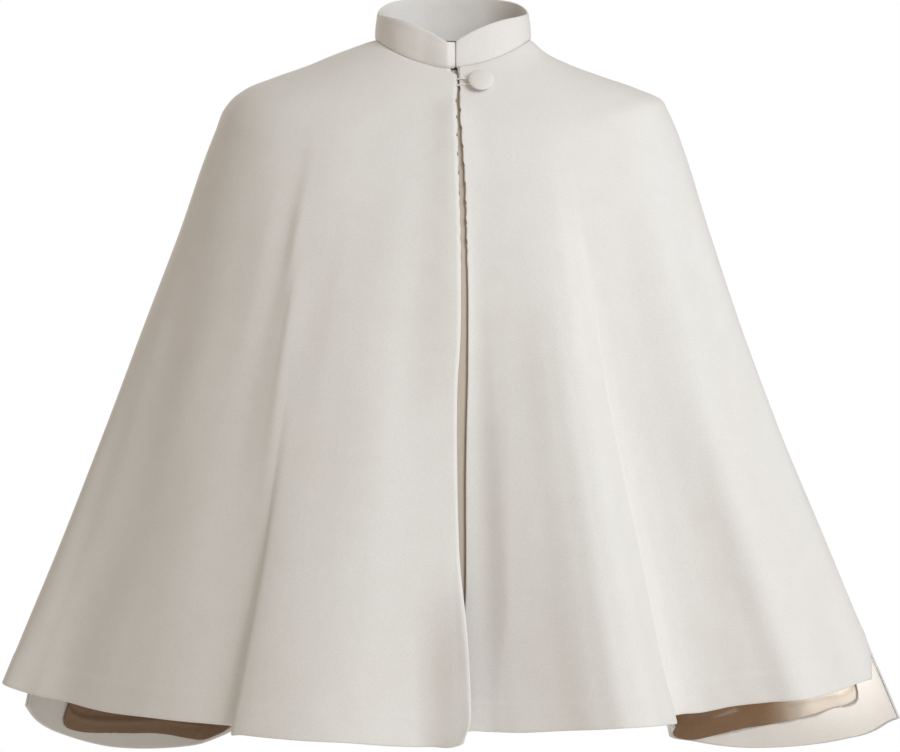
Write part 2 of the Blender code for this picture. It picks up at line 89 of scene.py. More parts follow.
# Where the cloth's hem is at each angle, and the drop from which it leaves the form without folds
Fold = namedtuple("Fold", "angle x y z start", defaults=[FOLD_START])
FRONT_FOLDS = [
    Fold(-105.0, -437, 48, -641, 560),
    Fold(-90.0, -448, 6, -640, 300),
    Fold(-71.0, -415, -16, -649),
    Fold(-59.0, -378, -38, -654),
    Fold(-50.0, -337, -70, -660),
    Fold(-42.5, -292, -101, -662),
    Fold(-37.0, -252, -121, -664),
    Fold(-34.0, -226, -131, -665, 150),
    Fold(-31.8, -208, -138, -666, 220),
    Fold(-29.9, -204, -143, -669, 220),
    Fold(-28.0, -208, -151, -673, 180),
    Fold(-25.6, -199, -159, -672, 100),
    Fold(-22.4, -178, -169, -673),
    Fold(-17.8, -141, -179, -675),
    Fold(-12.0, -96, -181, -677),
    Fold(-6.4, -51, -174, -681, 200),
    Fold(-2.3, -19, -168, -682, 260),
    Fold(0.5, 4, -164, -680, 260),
    Fold(1.5, 11, -161, -673, 260),
    Fold(2.4, 18, -158, -670, 200),
    Fold(5.0, 38, -153, -670),
    Fold(8.7, 66, -159, -670),
    Fold(13.6, 104, -170, -667),
    Fold(18.6, 142, -184, -664),
    Fold(22.4, 170, -187, -662),
    Fold(25.4, 195, -173, -662),
    Fold(27.6, 210, -142, -664),
    Fold(29.6, 218, -114, -666),
    Fold(31.2, 212, -95, -663),
    Fold(33.0, 224, -84, -661),
    Fold(35.6, 243, -79, -660),
    Fold(39.4, 271, -82, -654),
    Fold(45.0, 306, -90, -649),
    Fold(51.5, 338, -97, -646),
    Fold(60.0, 372, -70, -642),
    Fold(72.0, 402, -30, -637, 200),
    Fold(92.0, 422, 2, -635, 590),
]
BACK_FOLDS = [
    Fold(92.0, 453, 24, -677, 560),
    Fold(100.0, 447, 52, -684, 420),
    Fold(107.5, 437, 88, -697, 200),
    Fold(115.5, 415, 118, -708),
    Fold(124.0, 386, 150, -718),
    Fold(131.0, 349, 176, -725),
    Fold(137.0, 309, 190, -727),
    Fold(143.0, 256, 180, -719),
    Fold(147.0, 231, 157, -712),
    Fold(150.5, 231, 130, -700),
    Fold(154.5, 212, 116, -692),
    Fold(160.0, 168, 146, -694),
    Fold(167.0, 106, 184, -699),
    Fold(176.5, 28, 163, -696),
    Fold(184.0, -38, 168, -696),
    Fold(193.5, -112, 190, -699),
    Fold(201.5, -172, 164, -696),
    Fold(207.0, -210, 136, -694),
    Fold(212.0, -236, 164, -710),
    Fold(217.0, -265, 189, -723),
    Fold(222.5, -306, 194, -728),
    Fold(229.5, -353, 167, -724),
    Fold(237.5, -395, 130, -709),
    Fold(246.0, -421, 92, -691, 300),
    Fold(255.0, -433, 60, -669, 560),
]
LEFT_EDGE_COLUMN = -2.3
RIGHT_EDGE_COLUMN = 5.0
LEFT_FOLD_SEAM = -29.9
RIGHT_FOLD_SEAM = 31.2
LEFT_SIDE_SEAM = -105.0
RIGHT_SIDE_SEAM = 92.0

# x of the two fronts' cut edges at drops below the neck seam
Opening = namedtuple("Opening", "drop left right")
OPENING = [
    Opening(30, 6.4, 9.4),
    Opening(50, 6.6, 9.9),
    Opening(65, 5.4, 10.2),
    Opening(80, 5.6, 10.8),
    Opening(110, 6.2, 12.9),
    Opening(148, 7.3, 15.3),
    Opening(193, 8.6, 16.4),
    Opening(310, 8.7, 17.2),
    Opening(340, 6.6, 17.0),
    Opening(377, 6.0, 16.0),
    Opening(435, 6.7, 14.9),
    Opening(508, 9.0, 14.6),
    Opening(550, 9.9, 14.2),
    Opening(608, 10.4, 12.3),
    Opening(640, 11.4, 12.0),
    Opening(677, 11.4, 12.0),
]

# The collar's rim: its z, and how far it leans in
Collar = namedtuple("Collar", "angle rim_z lean")
COLLAR = [
    Collar(2, -7, 2.0),
    Collar(16, 4, 2.5),
    Collar(34, 14, 3.0),
    Collar(60, 22, 3.0),
    Collar(90, 29, 2.5),
    Collar(130, 45, 1.5),
    Collar(180, 54, 0.0),
]
COLLAR_ENDS = (2.2, 4.0)

LiningHem = namedtuple("LiningHem", "angle above_hem")
LINING_HEM = [
    LiningHem(92, 32),
    LiningHem(112, 32),
    LiningHem(118, 31),
    LiningHem(126, 27),
    LiningHem(131, 23),
    LiningHem(137.5, 17),
    LiningHem(140.3, 9),
    LiningHem(142.4, 2.5),
    LiningHem(150, 2.5),
    LiningHem(163, 9),
    LiningHem(176, 11),
    LiningHem(196, 9),
    LiningHem(210, 2.5),
    LiningHem(216, 2.5),
    LiningHem(219, 8),
    LiningHem(222.5, 14),
    LiningHem(229.5, 15),
    LiningHem(233.5, 11),
    LiningHem(237.5, 7),
    LiningHem(242, 8),
    LiningHem(255, 8),
]
# Where the lining's side edges are at its hem; the facings of the side vents reach as far as that
LINING_SIDES = (107.0, 241.0)
VENT_FACING = 96.0
VENT_OPENS = (610, 640)
FACING_HEIGHT = 36.0
FACING_GAP = 0.15
LINING_TOP = 45
LINING_GAP = 0.2
GAP = 0.3
UNDERLAP_REACH = 13.0
UNDERLAP_TOP = 4.0
UNDERLAP_END = 14.0
UNDERLAP_GAP = 1.45
# From how near to its cut edge the right front is tucked back, and the left one's low corner curls
TUCK_REACH = 40
CURL_REACH = 52
CURL_HEIGHT = 23.0
# The columns of the collar are closer together from here to its left end
COLLAR_FINE = (338.0, 338.6)
# Rows of faces are short over the shoulder and at the hem
SHOULDER_ROWS = (12.0, 210.0)
HEM_ROWS = 54
NECK_LINES = np.arange(0.0, 80.0, 0.5)
# Columns crowd towards a front's cut edge, and are wider apart on the back and inside it
EDGE_CROWDING = 1.6
BACK_COARSENESS = 1.35
INSIDE_COARSENESS = 1.6
BUTTON_X = 30.0
BUTTON_DROP = 47.0
SHANK_RADIUS = 2.6
SHANK_HEIGHT = 3.0
LOOP_STRANDS = (4.2, -2.2)

# Soft creases that the solids are too coarse for. A crease runs down the cloth from one angle to
# another, is as wide as so many degrees, and stands out (+) or sinks in (-) by so many millimetres.
Crease = namedtuple("Crease", "top_angle low_angle start end width depth")
FRONT_CREASES = [
    Crease(-66.0, -62.0, 150, 772, 7.0, -1.2),
    Crease(-52.0, -50.0, 170, 700, 5.0, 0.8),
    Crease(-20.0, -19.5, 120, 640, 5.0, -1.2),
    Crease(40.0, 42.0, 150, 640, 4.5, -1.8),
    Crease(55.0, 56.5, 200, 772, 5.0, 1.2),
    Crease(70.0, 66.0, 130, 560, 6.0, -1.6),
    Crease(84.0, 80.0, 240, 772, 5.0, 1.4),
]
BACK_CREASES = [
    Crease(112.0, 111.5, 170, 772, 3.0, -2.4),
    Crease(127.0, 128.5, 150, 700, 3.2, 2.0),
    Crease(139.0, 140.5, 260, 772, 2.4, -1.8),
    Crease(163.0, 164.0, 130, 640, 2.8, 2.6),
    Crease(172.0, 171.0, 300, 772, 2.6, -2.2),
    Crease(189.0, 188.0, 150, 772, 3.4, -2.0),
    Crease(198.0, 198.5, 220, 600, 2.6, 1.8),
    Crease(214.0, 215.5, 260, 772, 2.2, -1.4),
    Crease(226.0, 226.5, 140, 640, 3.0, -2.4),
    Crease(241.0, 240.0, 200, 772, 3.6, 2.4),
]


def hermite(knots, values, at):
    """A smooth curve through the values, read at places; it stays level past its ends."""
    knots = np.asarray(knots, dtype=float)
    values = np.asarray(values, dtype=float)
    at = np.clip(np.asarray(at, dtype=float), knots[0], knots[-1])
    tail = (None,) * (values.ndim - 1)
    widths = np.diff(knots)
    across = widths[(slice(None),) + tail]
    rises = np.diff(values, axis=0) / across
    slopes = np.empty_like(values)
    slopes[0], slopes[-1] = rises[0], rises[-1]
    slopes[1:-1] = (rises[:-1] * across[1:] + rises[1:] * across[:-1]) / (across[:-1] + across[1:])
    i = np.clip(np.searchsorted(knots, at, side="left") - 1, 0, len(widths) - 1)
    spread = (Ellipsis,) + tail
    width = widths[i][spread]
    t = ((at - knots[i]) / widths[i])[spread]
    return (
        (2 * t**3 - 3 * t**2 + 1) * values[i]
        + (t**3 - 2 * t**2 + t) * width * slopes[i]
        + (3 * t**2 - 2 * t**3) * values[i + 1]
        + (t**3 - t**2) * width * slopes[i + 1]
    )


def read_off(table, column, at):
    """One column of a table, read between its rows by the table's first column."""
    return hermite([row[0] for row in table], [getattr(row, column) for row in table], at)


def smooth(low, high, at):
    """From 0 at low to 1 at high, without a corner."""
    t = np.clip((np.asarray(at, dtype=float) - low) / (high - low), 0.0, 1.0)
    return t * t * (3 - 2 * t)


def unit(vectors):
    return vectors / np.linalg.norm(vectors, axis=-1, keepdims=True)


def lengths_down():
    """Distance down the cloth from the neck seam to each section, along the shoulder."""
    total = [0.0]
    for above, below in zip(SECTIONS, SECTIONS[1:]):
        out = ((below.left - above.left) + (below.right - above.right)) / 2
        total.append(total[-1] + math.hypot(out, below.side_z - above.side_z))
    return total


DOWN = lengths_down()
CLOTH_LENGTH = DOWN[-1]


def level(down):
    """The fitted form's seven sizes at distances down the cloth."""
    return hermite(DOWN, SECTIONS, np.minimum(down, CLOTH_LENGTH))


def fitted(sizes, angle):
    """Points of the fitted form, without folds."""
    side_z, left, right, front, front_z, back, back_z = np.moveaxis(sizes, -1, 0)
    turn = np.radians(angle)
    across, along = np.sin(turn), np.cos(turn)
    half_width = np.where(across > 0, right, left)
    depth = np.where(along > 0, front, back)
    end_z = np.where(along > 0, front_z, back_z)
    fuller = 1 + SQUARENESS * np.sin(2 * turn) ** 2
    z = side_z + (end_z - side_z) * along**2
    return np.stack([half_width * across * fuller, -depth * along * fuller, z], axis=-1)


HEM = level(CLOTH_LENGTH)


class Cloth:
    """The folded cloth between its first and last fold line, with its soft creases."""

    def __init__(self, folds, creases, seams, keel=False):
        self.angles = np.array([fold.angle for fold in folds])
        self.starts = np.array([fold.start for fold in folds])
        self.powers = np.where(self.starts < VENT_START, FOLD_POWER, VENT_POWER)
        self.offsets = np.array([fold[1:4] for fold in folds]) - fitted(
            np.broadcast_to(HEM, (len(folds), 7)), self.angles
        )
        self.creases = creases
        self.seams = seams
        self.keel = keel

    def bare(self, angle, down):
        """Points of the cloth that the solids also have."""
        angle, down = np.broadcast_arrays(angle, np.minimum(down, CLOTH_LENGTH))
        sizes = level(down)
        drop = -sizes[..., :1]
        share = np.clip((drop - self.starts) / (-HEM[0] - self.starts), 0.0, None) ** self.powers
        weights = hermite(self.angles, np.eye(len(self.angles)), angle)
        return fitted(sizes, angle) + (weights * share) @ self.offsets

    def normal(self, angle, down):
        """Out of the cloth."""
        down = np.minimum(down, CLOTH_LENGTH)
        low, high = np.maximum(down - 1.0, 0.0), np.minimum(down + 1.0, CLOTH_LENGTH)
        around = self.bare(angle + 0.02, down) - self.bare(angle - 0.02, down)
        below = self.bare(angle, high) - self.bare(angle, low)
        return unit(np.cross(below, around))

    def relief(self, angle, down):
        """How far the soft creases stand out; none at the collar and at the side seams."""
        angle, down = np.broadcast_arrays(angle, down)
        out = np.zeros(angle.shape)
        for crease in self.creases:
            run = (down - crease.start) / (crease.end - crease.start)
            path = crease.top_angle + (crease.low_angle - crease.top_angle) * run
            path = path + 0.35 * np.sin(run * 5.1 + crease.top_angle)
            rise = smooth(crease.start, crease.start + 150, down)
            fall = 1 - smooth(crease.end - 10, crease.end + 90, down)
            out += crease.depth * rise * fall * np.exp(-(((angle - path) / crease.width) ** 2))
        turn = np.radians(angle)
        wander = np.sin(turn * 11 + down / 71) * np.sin(down / 93 + turn * 4)
        wander = wander + 0.6 * np.sin(turn * 19 - down / 57 + 1.3)
        out += 0.55 * wander * smooth(60, 260, down)
        if self.keel:
            upper = smooth(60, 120, down) * (1 - smooth(250, 420, down))
            out += 4.0 * upper * np.exp(-(((angle - 1.2) / 4.8) ** 2))
        for seam in self.seams:
            out *= smooth(0.0, 7.0, np.abs(angle - seam))
        return out

    def surface(self, angle, down, depth=0.0):
        """Points at a depth under the cloth's face."""
        out = self.relief(angle, down) - depth
        return self.bare(angle, down) + self.normal(angle, down) * out[..., None]

    def angle_at(self, x, down):
        """The angles near the front opening at which the cloth is at these x."""
        angle = np.ones(np.shape(down))
        for _ in range(6):
            here = self.bare(angle, down)[..., 0]
            step = self.bare(angle + 0.1, down)[..., 0] - here
            angle = angle + 0.1 * (x - here) / step
        return angle

    def lay_out(self, first, last, pitch):
        """Angles from first to last, evenly spaced along the hem, so many millimetres apart."""
        fine = np.linspace(first, last, 1500)
        hem = self.bare(fine, CLOTH_LENGTH)
        run = np.concatenate([[0.0], np.cumsum(np.linalg.norm(np.diff(hem, axis=0), axis=1))])
        steps = max(2, round(run[-1] / pitch))
        return np.interp(np.linspace(0.0, run[-1], steps + 1), run, fine)


FRONT = Cloth(FRONT_FOLDS, FRONT_CREASES, (LEFT_SIDE_SEAM, RIGHT_SIDE_SEAM), keel=True)
BACK = Cloth(BACK_FOLDS, BACK_CREASES, (RIGHT_SIDE_SEAM, LEFT_SIDE_SEAM + 360))


def opening_x(down, side):
    """x of a front's cut edge. The hand stitches draw it in a little between them."""
    drop = -level(down)[..., 4]
    x = read_off(OPENING, side, drop)
    sign = -1 if side == "left" else 1
    waves = np.abs(np.sin(math.pi * (drop - STITCHES[side].first) / STITCHES[side].spacing))
    near = smooth(60, 80, drop) * (1 - smooth(200, 260, drop))
    x = x - sign * (0.9 * waves * near - 0.3)
    foot = smooth(CLOTH_LENGTH - 20, CLOTH_LENGTH, down) ** 1.5
    if side == "right":
        # The tuck carries the edge left as well as back
        return x + 2.0 * foot + 0.5 * right_tuck(down) * (1 - 0.75 * smooth(540, 640, drop))
    # The left front's top corner is drawn back from the loop, and its lower corner is cut slanting
    return x - 6.5 * (1 - smooth(33.0, 38.5, drop)) - 5.0 * foot


def opening_angle(down, side):
    return FRONT.angle_at(opening_x(down, side), down)


def right_tuck(down):
    """How far the right front's cut edge falls back behind the left's."""
    return 0.8 * smooth(80, 250, down) + 9.5 * smooth(230, 620, down)


def edge_roll(angles, down, side):
    """How far a front stands out beside the opening; angles and down are grids of the same rows."""
    line = down[:, 0]
    edge = opening_angle(line, side)
    step = FRONT.bare(edge + 0.2, line) - FRONT.bare(edge, line)
    width = np.linalg.norm(step, axis=1) / 0.2
    near = np.abs(angles - edge[:, None]) * width[:, None]
    if side == "right":
        return -right_tuck(down) * np.clip(1 - near / TUCK_REACH, 0, 1) ** 1.5
    rim = -1.3 * np.clip(1 - near / 3.0, 0, 1) ** 2
    curl = CURL_HEIGHT * smooth(560, 700, down)
    return rim + curl * np.clip(1 - near / CURL_REACH, 0, 1) ** 2


# Hand stitches along each front edge: the first and last drop below the neck seam, and the spacing
Stitches = namedtuple("Stitches", "first last spacing")
STITCHES = {"left": Stitches(66, 158, 17.0), "right": Stitches(77, 205, 19.5)}

# ---------------------------------------------------------------- settings


def linear(hex_colour):
    """An sRGB hex colour as the linear red, green and blue that shaders take."""
    parts = [int(hex_colour[k : k + 2], 16) / 255 for k in (1, 3, 5)]
    return tuple(p / 12.92 if p <= 0.04045 else ((p + 0.055) / 1.055) ** 2.4 for p in parts)


def length_setting(name, description, default):
    return bpy.props.FloatProperty(
        name=name, description=description, default=default * MM, unit="LENGTH", precision=4
    )


def colour_setting(name, description, default):
    facts = {"name": name, "description": description, "default": linear(default)}
    return bpy.props.FloatVectorProperty(subtype="COLOR", size=3, min=0.0, max=1.0, **facts)


def light_setting(name, description, default):
    return bpy.props.FloatProperty(name=name, description=description, default=default, min=0.0)


class CapeCloth(bpy.types.PropertyGroup):
    """Sizes of the cloth, its edges and its stitches."""

    wool_thickness: length_setting("Wool", "Thickness of the wool melton", 2.2)
    facing_thickness: length_setting("Facing", "Thickness of the hem facing inside the back", 1.4)
    lining_thickness: length_setting("Lining", "Thickness of the satin lining", 0.9)
    underlap_thickness: length_setting("Underlap", "Thickness of the strip behind the opening", 1.8)
    collar_thickness: length_setting("Collar", "Thickness of the interfaced stand collar", 3.0)
    column_pitch: length_setting("Column pitch", "Width of a mesh face at the hem", 3.0)
    row_pitch: length_setting("Row pitch", "Height of a mesh face", 4.8)
    press_line: length_setting("Press line", "How far the hem's press line stands out", 0.45)
    stitch_length: length_setting("Stitch length", "Length of a hand stitch on the front edge", 6.4)
    stitch_thread: length_setting("Stitch thread", "Thickness of the hand stitches' thread", 1.4)


class CapeTrim(bpy.types.PropertyGroup):
    """Sizes of the button and its loop."""

    button_radius: length_setting("Button radius", "Half the covered button's width", 12.5)
    button_height: length_setting("Button height", "Height of the button's dome", 5.2)
    loop_radius: length_setting("Loop radius", "Half the thickness of a strand of the loop", 1.15)


class CapeColours(bpy.types.PropertyGroup):
    """Colours of the cloth and the threads."""

    wool: colour_setting("Wool", "Cream wool melton", "#EEECEA")
    # Painted shade: the strip's wool is darker than the cape's, standing in for the shade in the gap
    # between the fronts
    underlap: colour_setting("Underlap", "Wool of the strip behind the opening", "#C9BDAE")
    # Painted shade: the lining's colour is darker than the satin's own, standing in for the shade
    # inside the cape
    lining: colour_setting("Lining", "Satin inside the cape", "#84664A")
    loop: colour_setting("Loop", "Twisted thread of the loop and shank", "#F8F5EE")
    # The stitches' thread is darker than the cloth partly as painted shade, standing in for the
    # shadows of the puckers at each tack
    stitches: colour_setting("Stitches", "Thread of the hand stitches", "#8C7F70")
    floor: colour_setting("Floor", "Pale studio floor", "#F1F0EE")


class CapeStudio(bpy.types.PropertyGroup):
    """Lights of the studio."""

    key: light_setting("Key light", "Watts of the large soft light", 79.5)
    fill: light_setting("Fill light", "Watts of the weak light beside the camera", 6.0)
    back: light_setting("Back light", "Watts of the light behind", 45.0)
    hem: light_setting("Hem light", "Watts of the small hidden lamp inside the right hem", 0.165)
    ambient: light_setting("Ambient", "Strength of the light from all round", 0.365)


# ---------------------------------------------------------------- materials


def add_node(tree, kind, inputs=None, **settings):
    """One node with its settings, and its inputs set to values or linked to sockets."""
    node = tree.nodes.new(kind)
    for name, value in settings.items():
        setattr(node, name, value)
    for name, value in (inputs or {}).items():
        socket = node.inputs[name]
        if isinstance(value, bpy.types.NodeSocket):
            tree.links.new(value, socket)
        else:
            socket.default_value = value
    return node


def shaded(colour, share):
    """A colour as red, green, blue and alpha, made lighter or darker by a share."""
    return (*[min(1.0, part * share) for part in colour], 1.0)


def start_material(name):
    made = bpy.data.materials.new(name)
    made.use_nodes = True
    tree = made.node_tree
    tree.nodes.clear()
    return made, tree


def end_material(tree, body, roughness, bumps, gloss):
    """The shader, over bumps that are each a height, a strength and a depth in metres."""
    surface = {"Base Color": body, "Roughness": roughness, **gloss}
    below = {}
    for height, strength, depth in bumps:
        facts = {"Height": height, "Strength": strength, "Distance": depth, **below}
        below = {"Normal": add_node(tree, "ShaderNodeBump", facts).outputs["Normal"]}
    shader = add_node(tree, "ShaderNodeBsdfPrincipled", {**surface, **below})
    output = tree.nodes.new("ShaderNodeOutputMaterial")
    tree.links.new(shader.outputs["BSDF"], output.inputs["Surface"])


def noise_at(tree, vector, size, stretch=(1.0, 1.0, 1.0), detail=2.0, roughness=0.5):
    """Noise whose grains are size metres across, or as many times longer as stretch says."""
    scale = tuple(1 / (size * times) for times in stretch)
    facts = {"Vector": vector, "Scale": scale}
    place = add_node(tree, "ShaderNodeMapping", facts, vector_type="POINT").outputs["Vector"]
    facts = {"Vector": place, "Scale": 1.0, "Detail": detail, "Roughness": roughness}
    return add_node(tree, "ShaderNodeTexNoise", facts).outputs["Fac"]


def wool_melton(name, colour):
    """Wool melton, woven, fulled and pressed: a dense felted face that hides its weave.

    Its short matted fibres give a matt face with a soft sheen at a grazing view, faint flecks that
    lie along the weft, and a cloudy colour where the nap lies one way or the other.
    """
    made, tree = start_material(name)
    place = add_node(tree, "ShaderNodeTexCoord").outputs["Object"]
    cloth = add_node(tree, "ShaderNodeUVMap", uv_map="cloth").outputs["UV"]
    # Fibre bundles are 0.1 to 0.3 mm wide: drawn 1.1 mm high and 3 mm long, so that they show
    flecks = noise_at(tree, cloth, 1.1 * MM, stretch=(2.8, 1.0, 1.0), detail=3.0, roughness=0.65)
    nap = noise_at(tree, place, 26 * MM, detail=3.0, roughness=0.55)
    clouds = noise_at(tree, place, 120 * MM, stretch=(1.0, 1.0, 1.6), detail=1.0)
    shares = []
    for noise, low, high, first, last in (
        (flecks, 0.3, 0.7, 0.0, 1.0),
        (nap, 0.35, 0.65, 0.0, 0.35),
        (clouds, 0.4, 0.6, 0.0, 0.5),
        (flecks, 0.3, 0.7, 0.86, 0.98),
    ):
        facts = {"Value": noise, "From Min": low, "From Max": high, "To Min": first, "To Max": last}
        shares.append(add_node(tree, "ShaderNodeMapRange", facts).outputs["Result"])
    flecked, napped, clouded, rough = shares
    facts = {0: flecked, 6: shaded(colour, 0.945), 7: shaded(colour, 1.03)}
    body = add_node(tree, "ShaderNodeMix", facts, data_type="RGBA").outputs[2]
    for share, tint in ((napped, (0.945, 0.94, 0.925, 1.0)), (clouded, (1.0, 0.985, 0.975, 1.0))):
        facts = {0: share, 6: body, 7: tint}
        mixed = add_node(tree, "ShaderNodeMix", facts, data_type="RGBA", blend_type="MULTIPLY")
        body = mixed.outputs[2]
    gloss = {"Sheen Weight": 0.18, "Sheen Roughness": 0.5, "Specular IOR Level": 0.25}
    end_material(tree, body, rough, ((flecks, 0.3, 0.5 * MM), (nap, 0.18, 1.6 * MM)), gloss)
    return made


# Painted light: the lining turns pale beige towards its right end, low at the hem, where light falls
# in; places in metres
PAINTED_LIGHT_SATIN = "#EFE7DC"
SATIN_PAINTED_LIGHT_SPANS = (("X", 0.32, 0.385), ("Z", -0.6, -0.66))


def lining_satin(name, colour):
    """Acetate satin, woven with long floats: a smooth face whose sheen runs along the warp."""
    made, tree = start_material(name)
    place = add_node(tree, "ShaderNodeTexCoord").outputs["Object"]
    cloth = add_node(tree, "ShaderNodeUVMap", uv_map="cloth").outputs["UV"]
    # Warp threads are 0.15 mm apart: drawn 0.9 mm apart and 14 mm long, so that they show
    floats = noise_at(tree, cloth, 0.9 * MM, stretch=(1.0, 16.0, 1.0), detail=2.0)
    creased = noise_at(tree, place, 18 * MM, stretch=(1.0, 1.0, 0.6), detail=2.0)
    facts = {0: floats, 6: shaded(colour, 0.86), 7: shaded(colour, 1.12)}
    body = add_node(tree, "ShaderNodeMix", facts, data_type="RGBA").outputs[2]
    at = add_node(tree, "ShaderNodeSeparateXYZ", {"Vector": place}).outputs
    # Painted light: a pale patch at the lining's right end, low at the hem, with a noisy edge
    light_patch_edge_noise = noise_at(tree, place, 14 * MM, detail=3.0)
    ends = []
    for axis, start, end in SATIN_PAINTED_LIGHT_SPANS:
        facts = {"Value": at[axis], "From Min": start, "From Max": end, "To Max": 0.9}
        ramp = add_node(tree, "ShaderNodeMapRange", facts, interpolation_type="SMOOTHSTEP")
        ends.append(ramp.outputs["Result"])
    facts = {0: ends[0], 1: ends[1]}
    corner = add_node(tree, "ShaderNodeMath", facts, operation="MULTIPLY").outputs[0]
    facts = {0: light_patch_edge_noise, 1: 0.5, 2: corner}
    uneven = add_node(tree, "ShaderNodeMath", facts, operation="MULTIPLY_ADD", use_clamp=True)
    facts = {0: uneven.outputs[0], 1: corner}
    painted_light = add_node(tree, "ShaderNodeMath", facts, operation="MULTIPLY", use_clamp=True)
    facts = {0: painted_light.outputs[0], 6: body, 7: (*linear(PAINTED_LIGHT_SATIN), 1.0)}
    body = add_node(tree, "ShaderNodeMix", facts, data_type="RGBA").outputs[2]
    facts = {"Value": floats, "From Min": 0.3, "From Max": 0.7, "To Min": 0.36, "To Max": 0.5}
    rough = add_node(tree, "ShaderNodeMapRange", facts).outputs["Result"]
    gloss = {"Sheen Weight": 0.25, "Sheen Roughness": 0.35, "Specular IOR Level": 0.5}
    end_material(tree, body, rough, ((floats, 0.15, 0.2 * MM), (creased, 0.35, 2.5 * MM)), gloss)
    return made


def twisted_thread(name, colour, roughness=0.6):
    """Mercerised cotton buttonhole twist, plied from fine strands: smooth, with a low gloss."""
    made, tree = start_material(name)
    place = add_node(tree, "ShaderNodeTexCoord").outputs["Object"]
    fibres = noise_at(tree, place, 0.4 * MM, detail=2.0)
    facts = {0: fibres, 6: shaded(colour, 0.88), 7: shaded(colour, 1.04)}
    body = add_node(tree, "ShaderNodeMix", facts, data_type="RGBA").outputs[2]
    gloss = {"Sheen Weight": 0.2, "Sheen Roughness": 0.4}
    end_material(tree, body, roughness, ((fibres, 0.25, 0.15 * MM),), gloss)
    return made


def painted_floor(name, colour):
    """Studio floor under matt emulsion paint, rolled on: a faint orange-peel in its gloss."""
    made, tree = start_material(name)
    place = add_node(tree, "ShaderNodeTexCoord").outputs["Object"]
    peel = noise_at(tree, place, 6 * MM, detail=2.0)
    scuffs = noise_at(tree, place, 0.45, detail=3.0)
    facts = {0: scuffs, 6: shaded(colour, 0.97), 7: shaded(colour, 1.0)}
    body = add_node(tree, "ShaderNodeMix", facts, data_type="RGBA").outputs[2]
    end_material(tree, body, 0.8, ((peel, 0.1, 0.3 * MM),), {})
    return made


# For each colour in the settings: its material's name, what makes it, and its own roughness
FINISHES = {
    "wool": ("cream_wool_melton", wool_melton),
    "underlap": ("underlap_wool_melton", wool_melton),
    "lining": ("acetate_satin", lining_satin),
    "loop": ("buttonhole_twist", twisted_thread),
    "stitches": ("stitching_thread", twisted_thread, 0.75),
    "floor": ("matt_floor_paint", painted_floor),
}


def finish(colour_name):
    """The material of a colour, made the first time that a piece asks for it."""
    name, make, *facts = FINISHES[colour_name]
    colour = getattr(bpy.context.scene.cape_colours, colour_name)[:]
    return bpy.data.materials.get(name) or make(name, colour, *facts)


# ---------------------------------------------------------------- mesh making


def new_piece(name, mesh, *materials):
    piece = bpy.data.objects.new(name, mesh)
    bpy.context.scene.collection.objects.link(piece)
    for material in materials:
        mesh.materials.append(material)
    return piece


SHARP_ANGLE = 50.0


def make_mesh(name, points, faces, uv):
    """A mesh from points in millimetres, with its cloth map in metres."""
    mesh = bpy.data.meshes.new(name)
    mesh.from_pydata((np.asarray(points) * MM).tolist(), [], faces)
    mesh.validate()
    layer = mesh.uv_layers.new(name="cloth")
    corner = np.empty(len(mesh.loops), dtype=np.int32)
    mesh.loops.foreach_get("vertex_index", corner)
    layer.data.foreach_set("uv", (np.asarray(uv) * MM)[corner].astype(np.float32).ravel())
    mesh.shade_smooth()
    mesh.set_sharp_from_angle(angle=math.radians(SHARP_ANGLE))
    return mesh


def rim_of(rows, columns):
    """Row and column of each point round a grid's edge, in order."""
    top = [(0, j) for j in range(columns - 1)]
    right = [(i, columns - 1) for i in range(rows - 1)]
    bottom = [(rows - 1, j) for j in range(columns - 1, 0, -1)]
    left = [(i, 0) for i in range(rows - 1, 0, -1)]
    return np.array(top + right + bottom + left)


RIM_TURNS = (0.25, 0.5, 0.75)  # where the points of a rounded edge are, from one face to the other


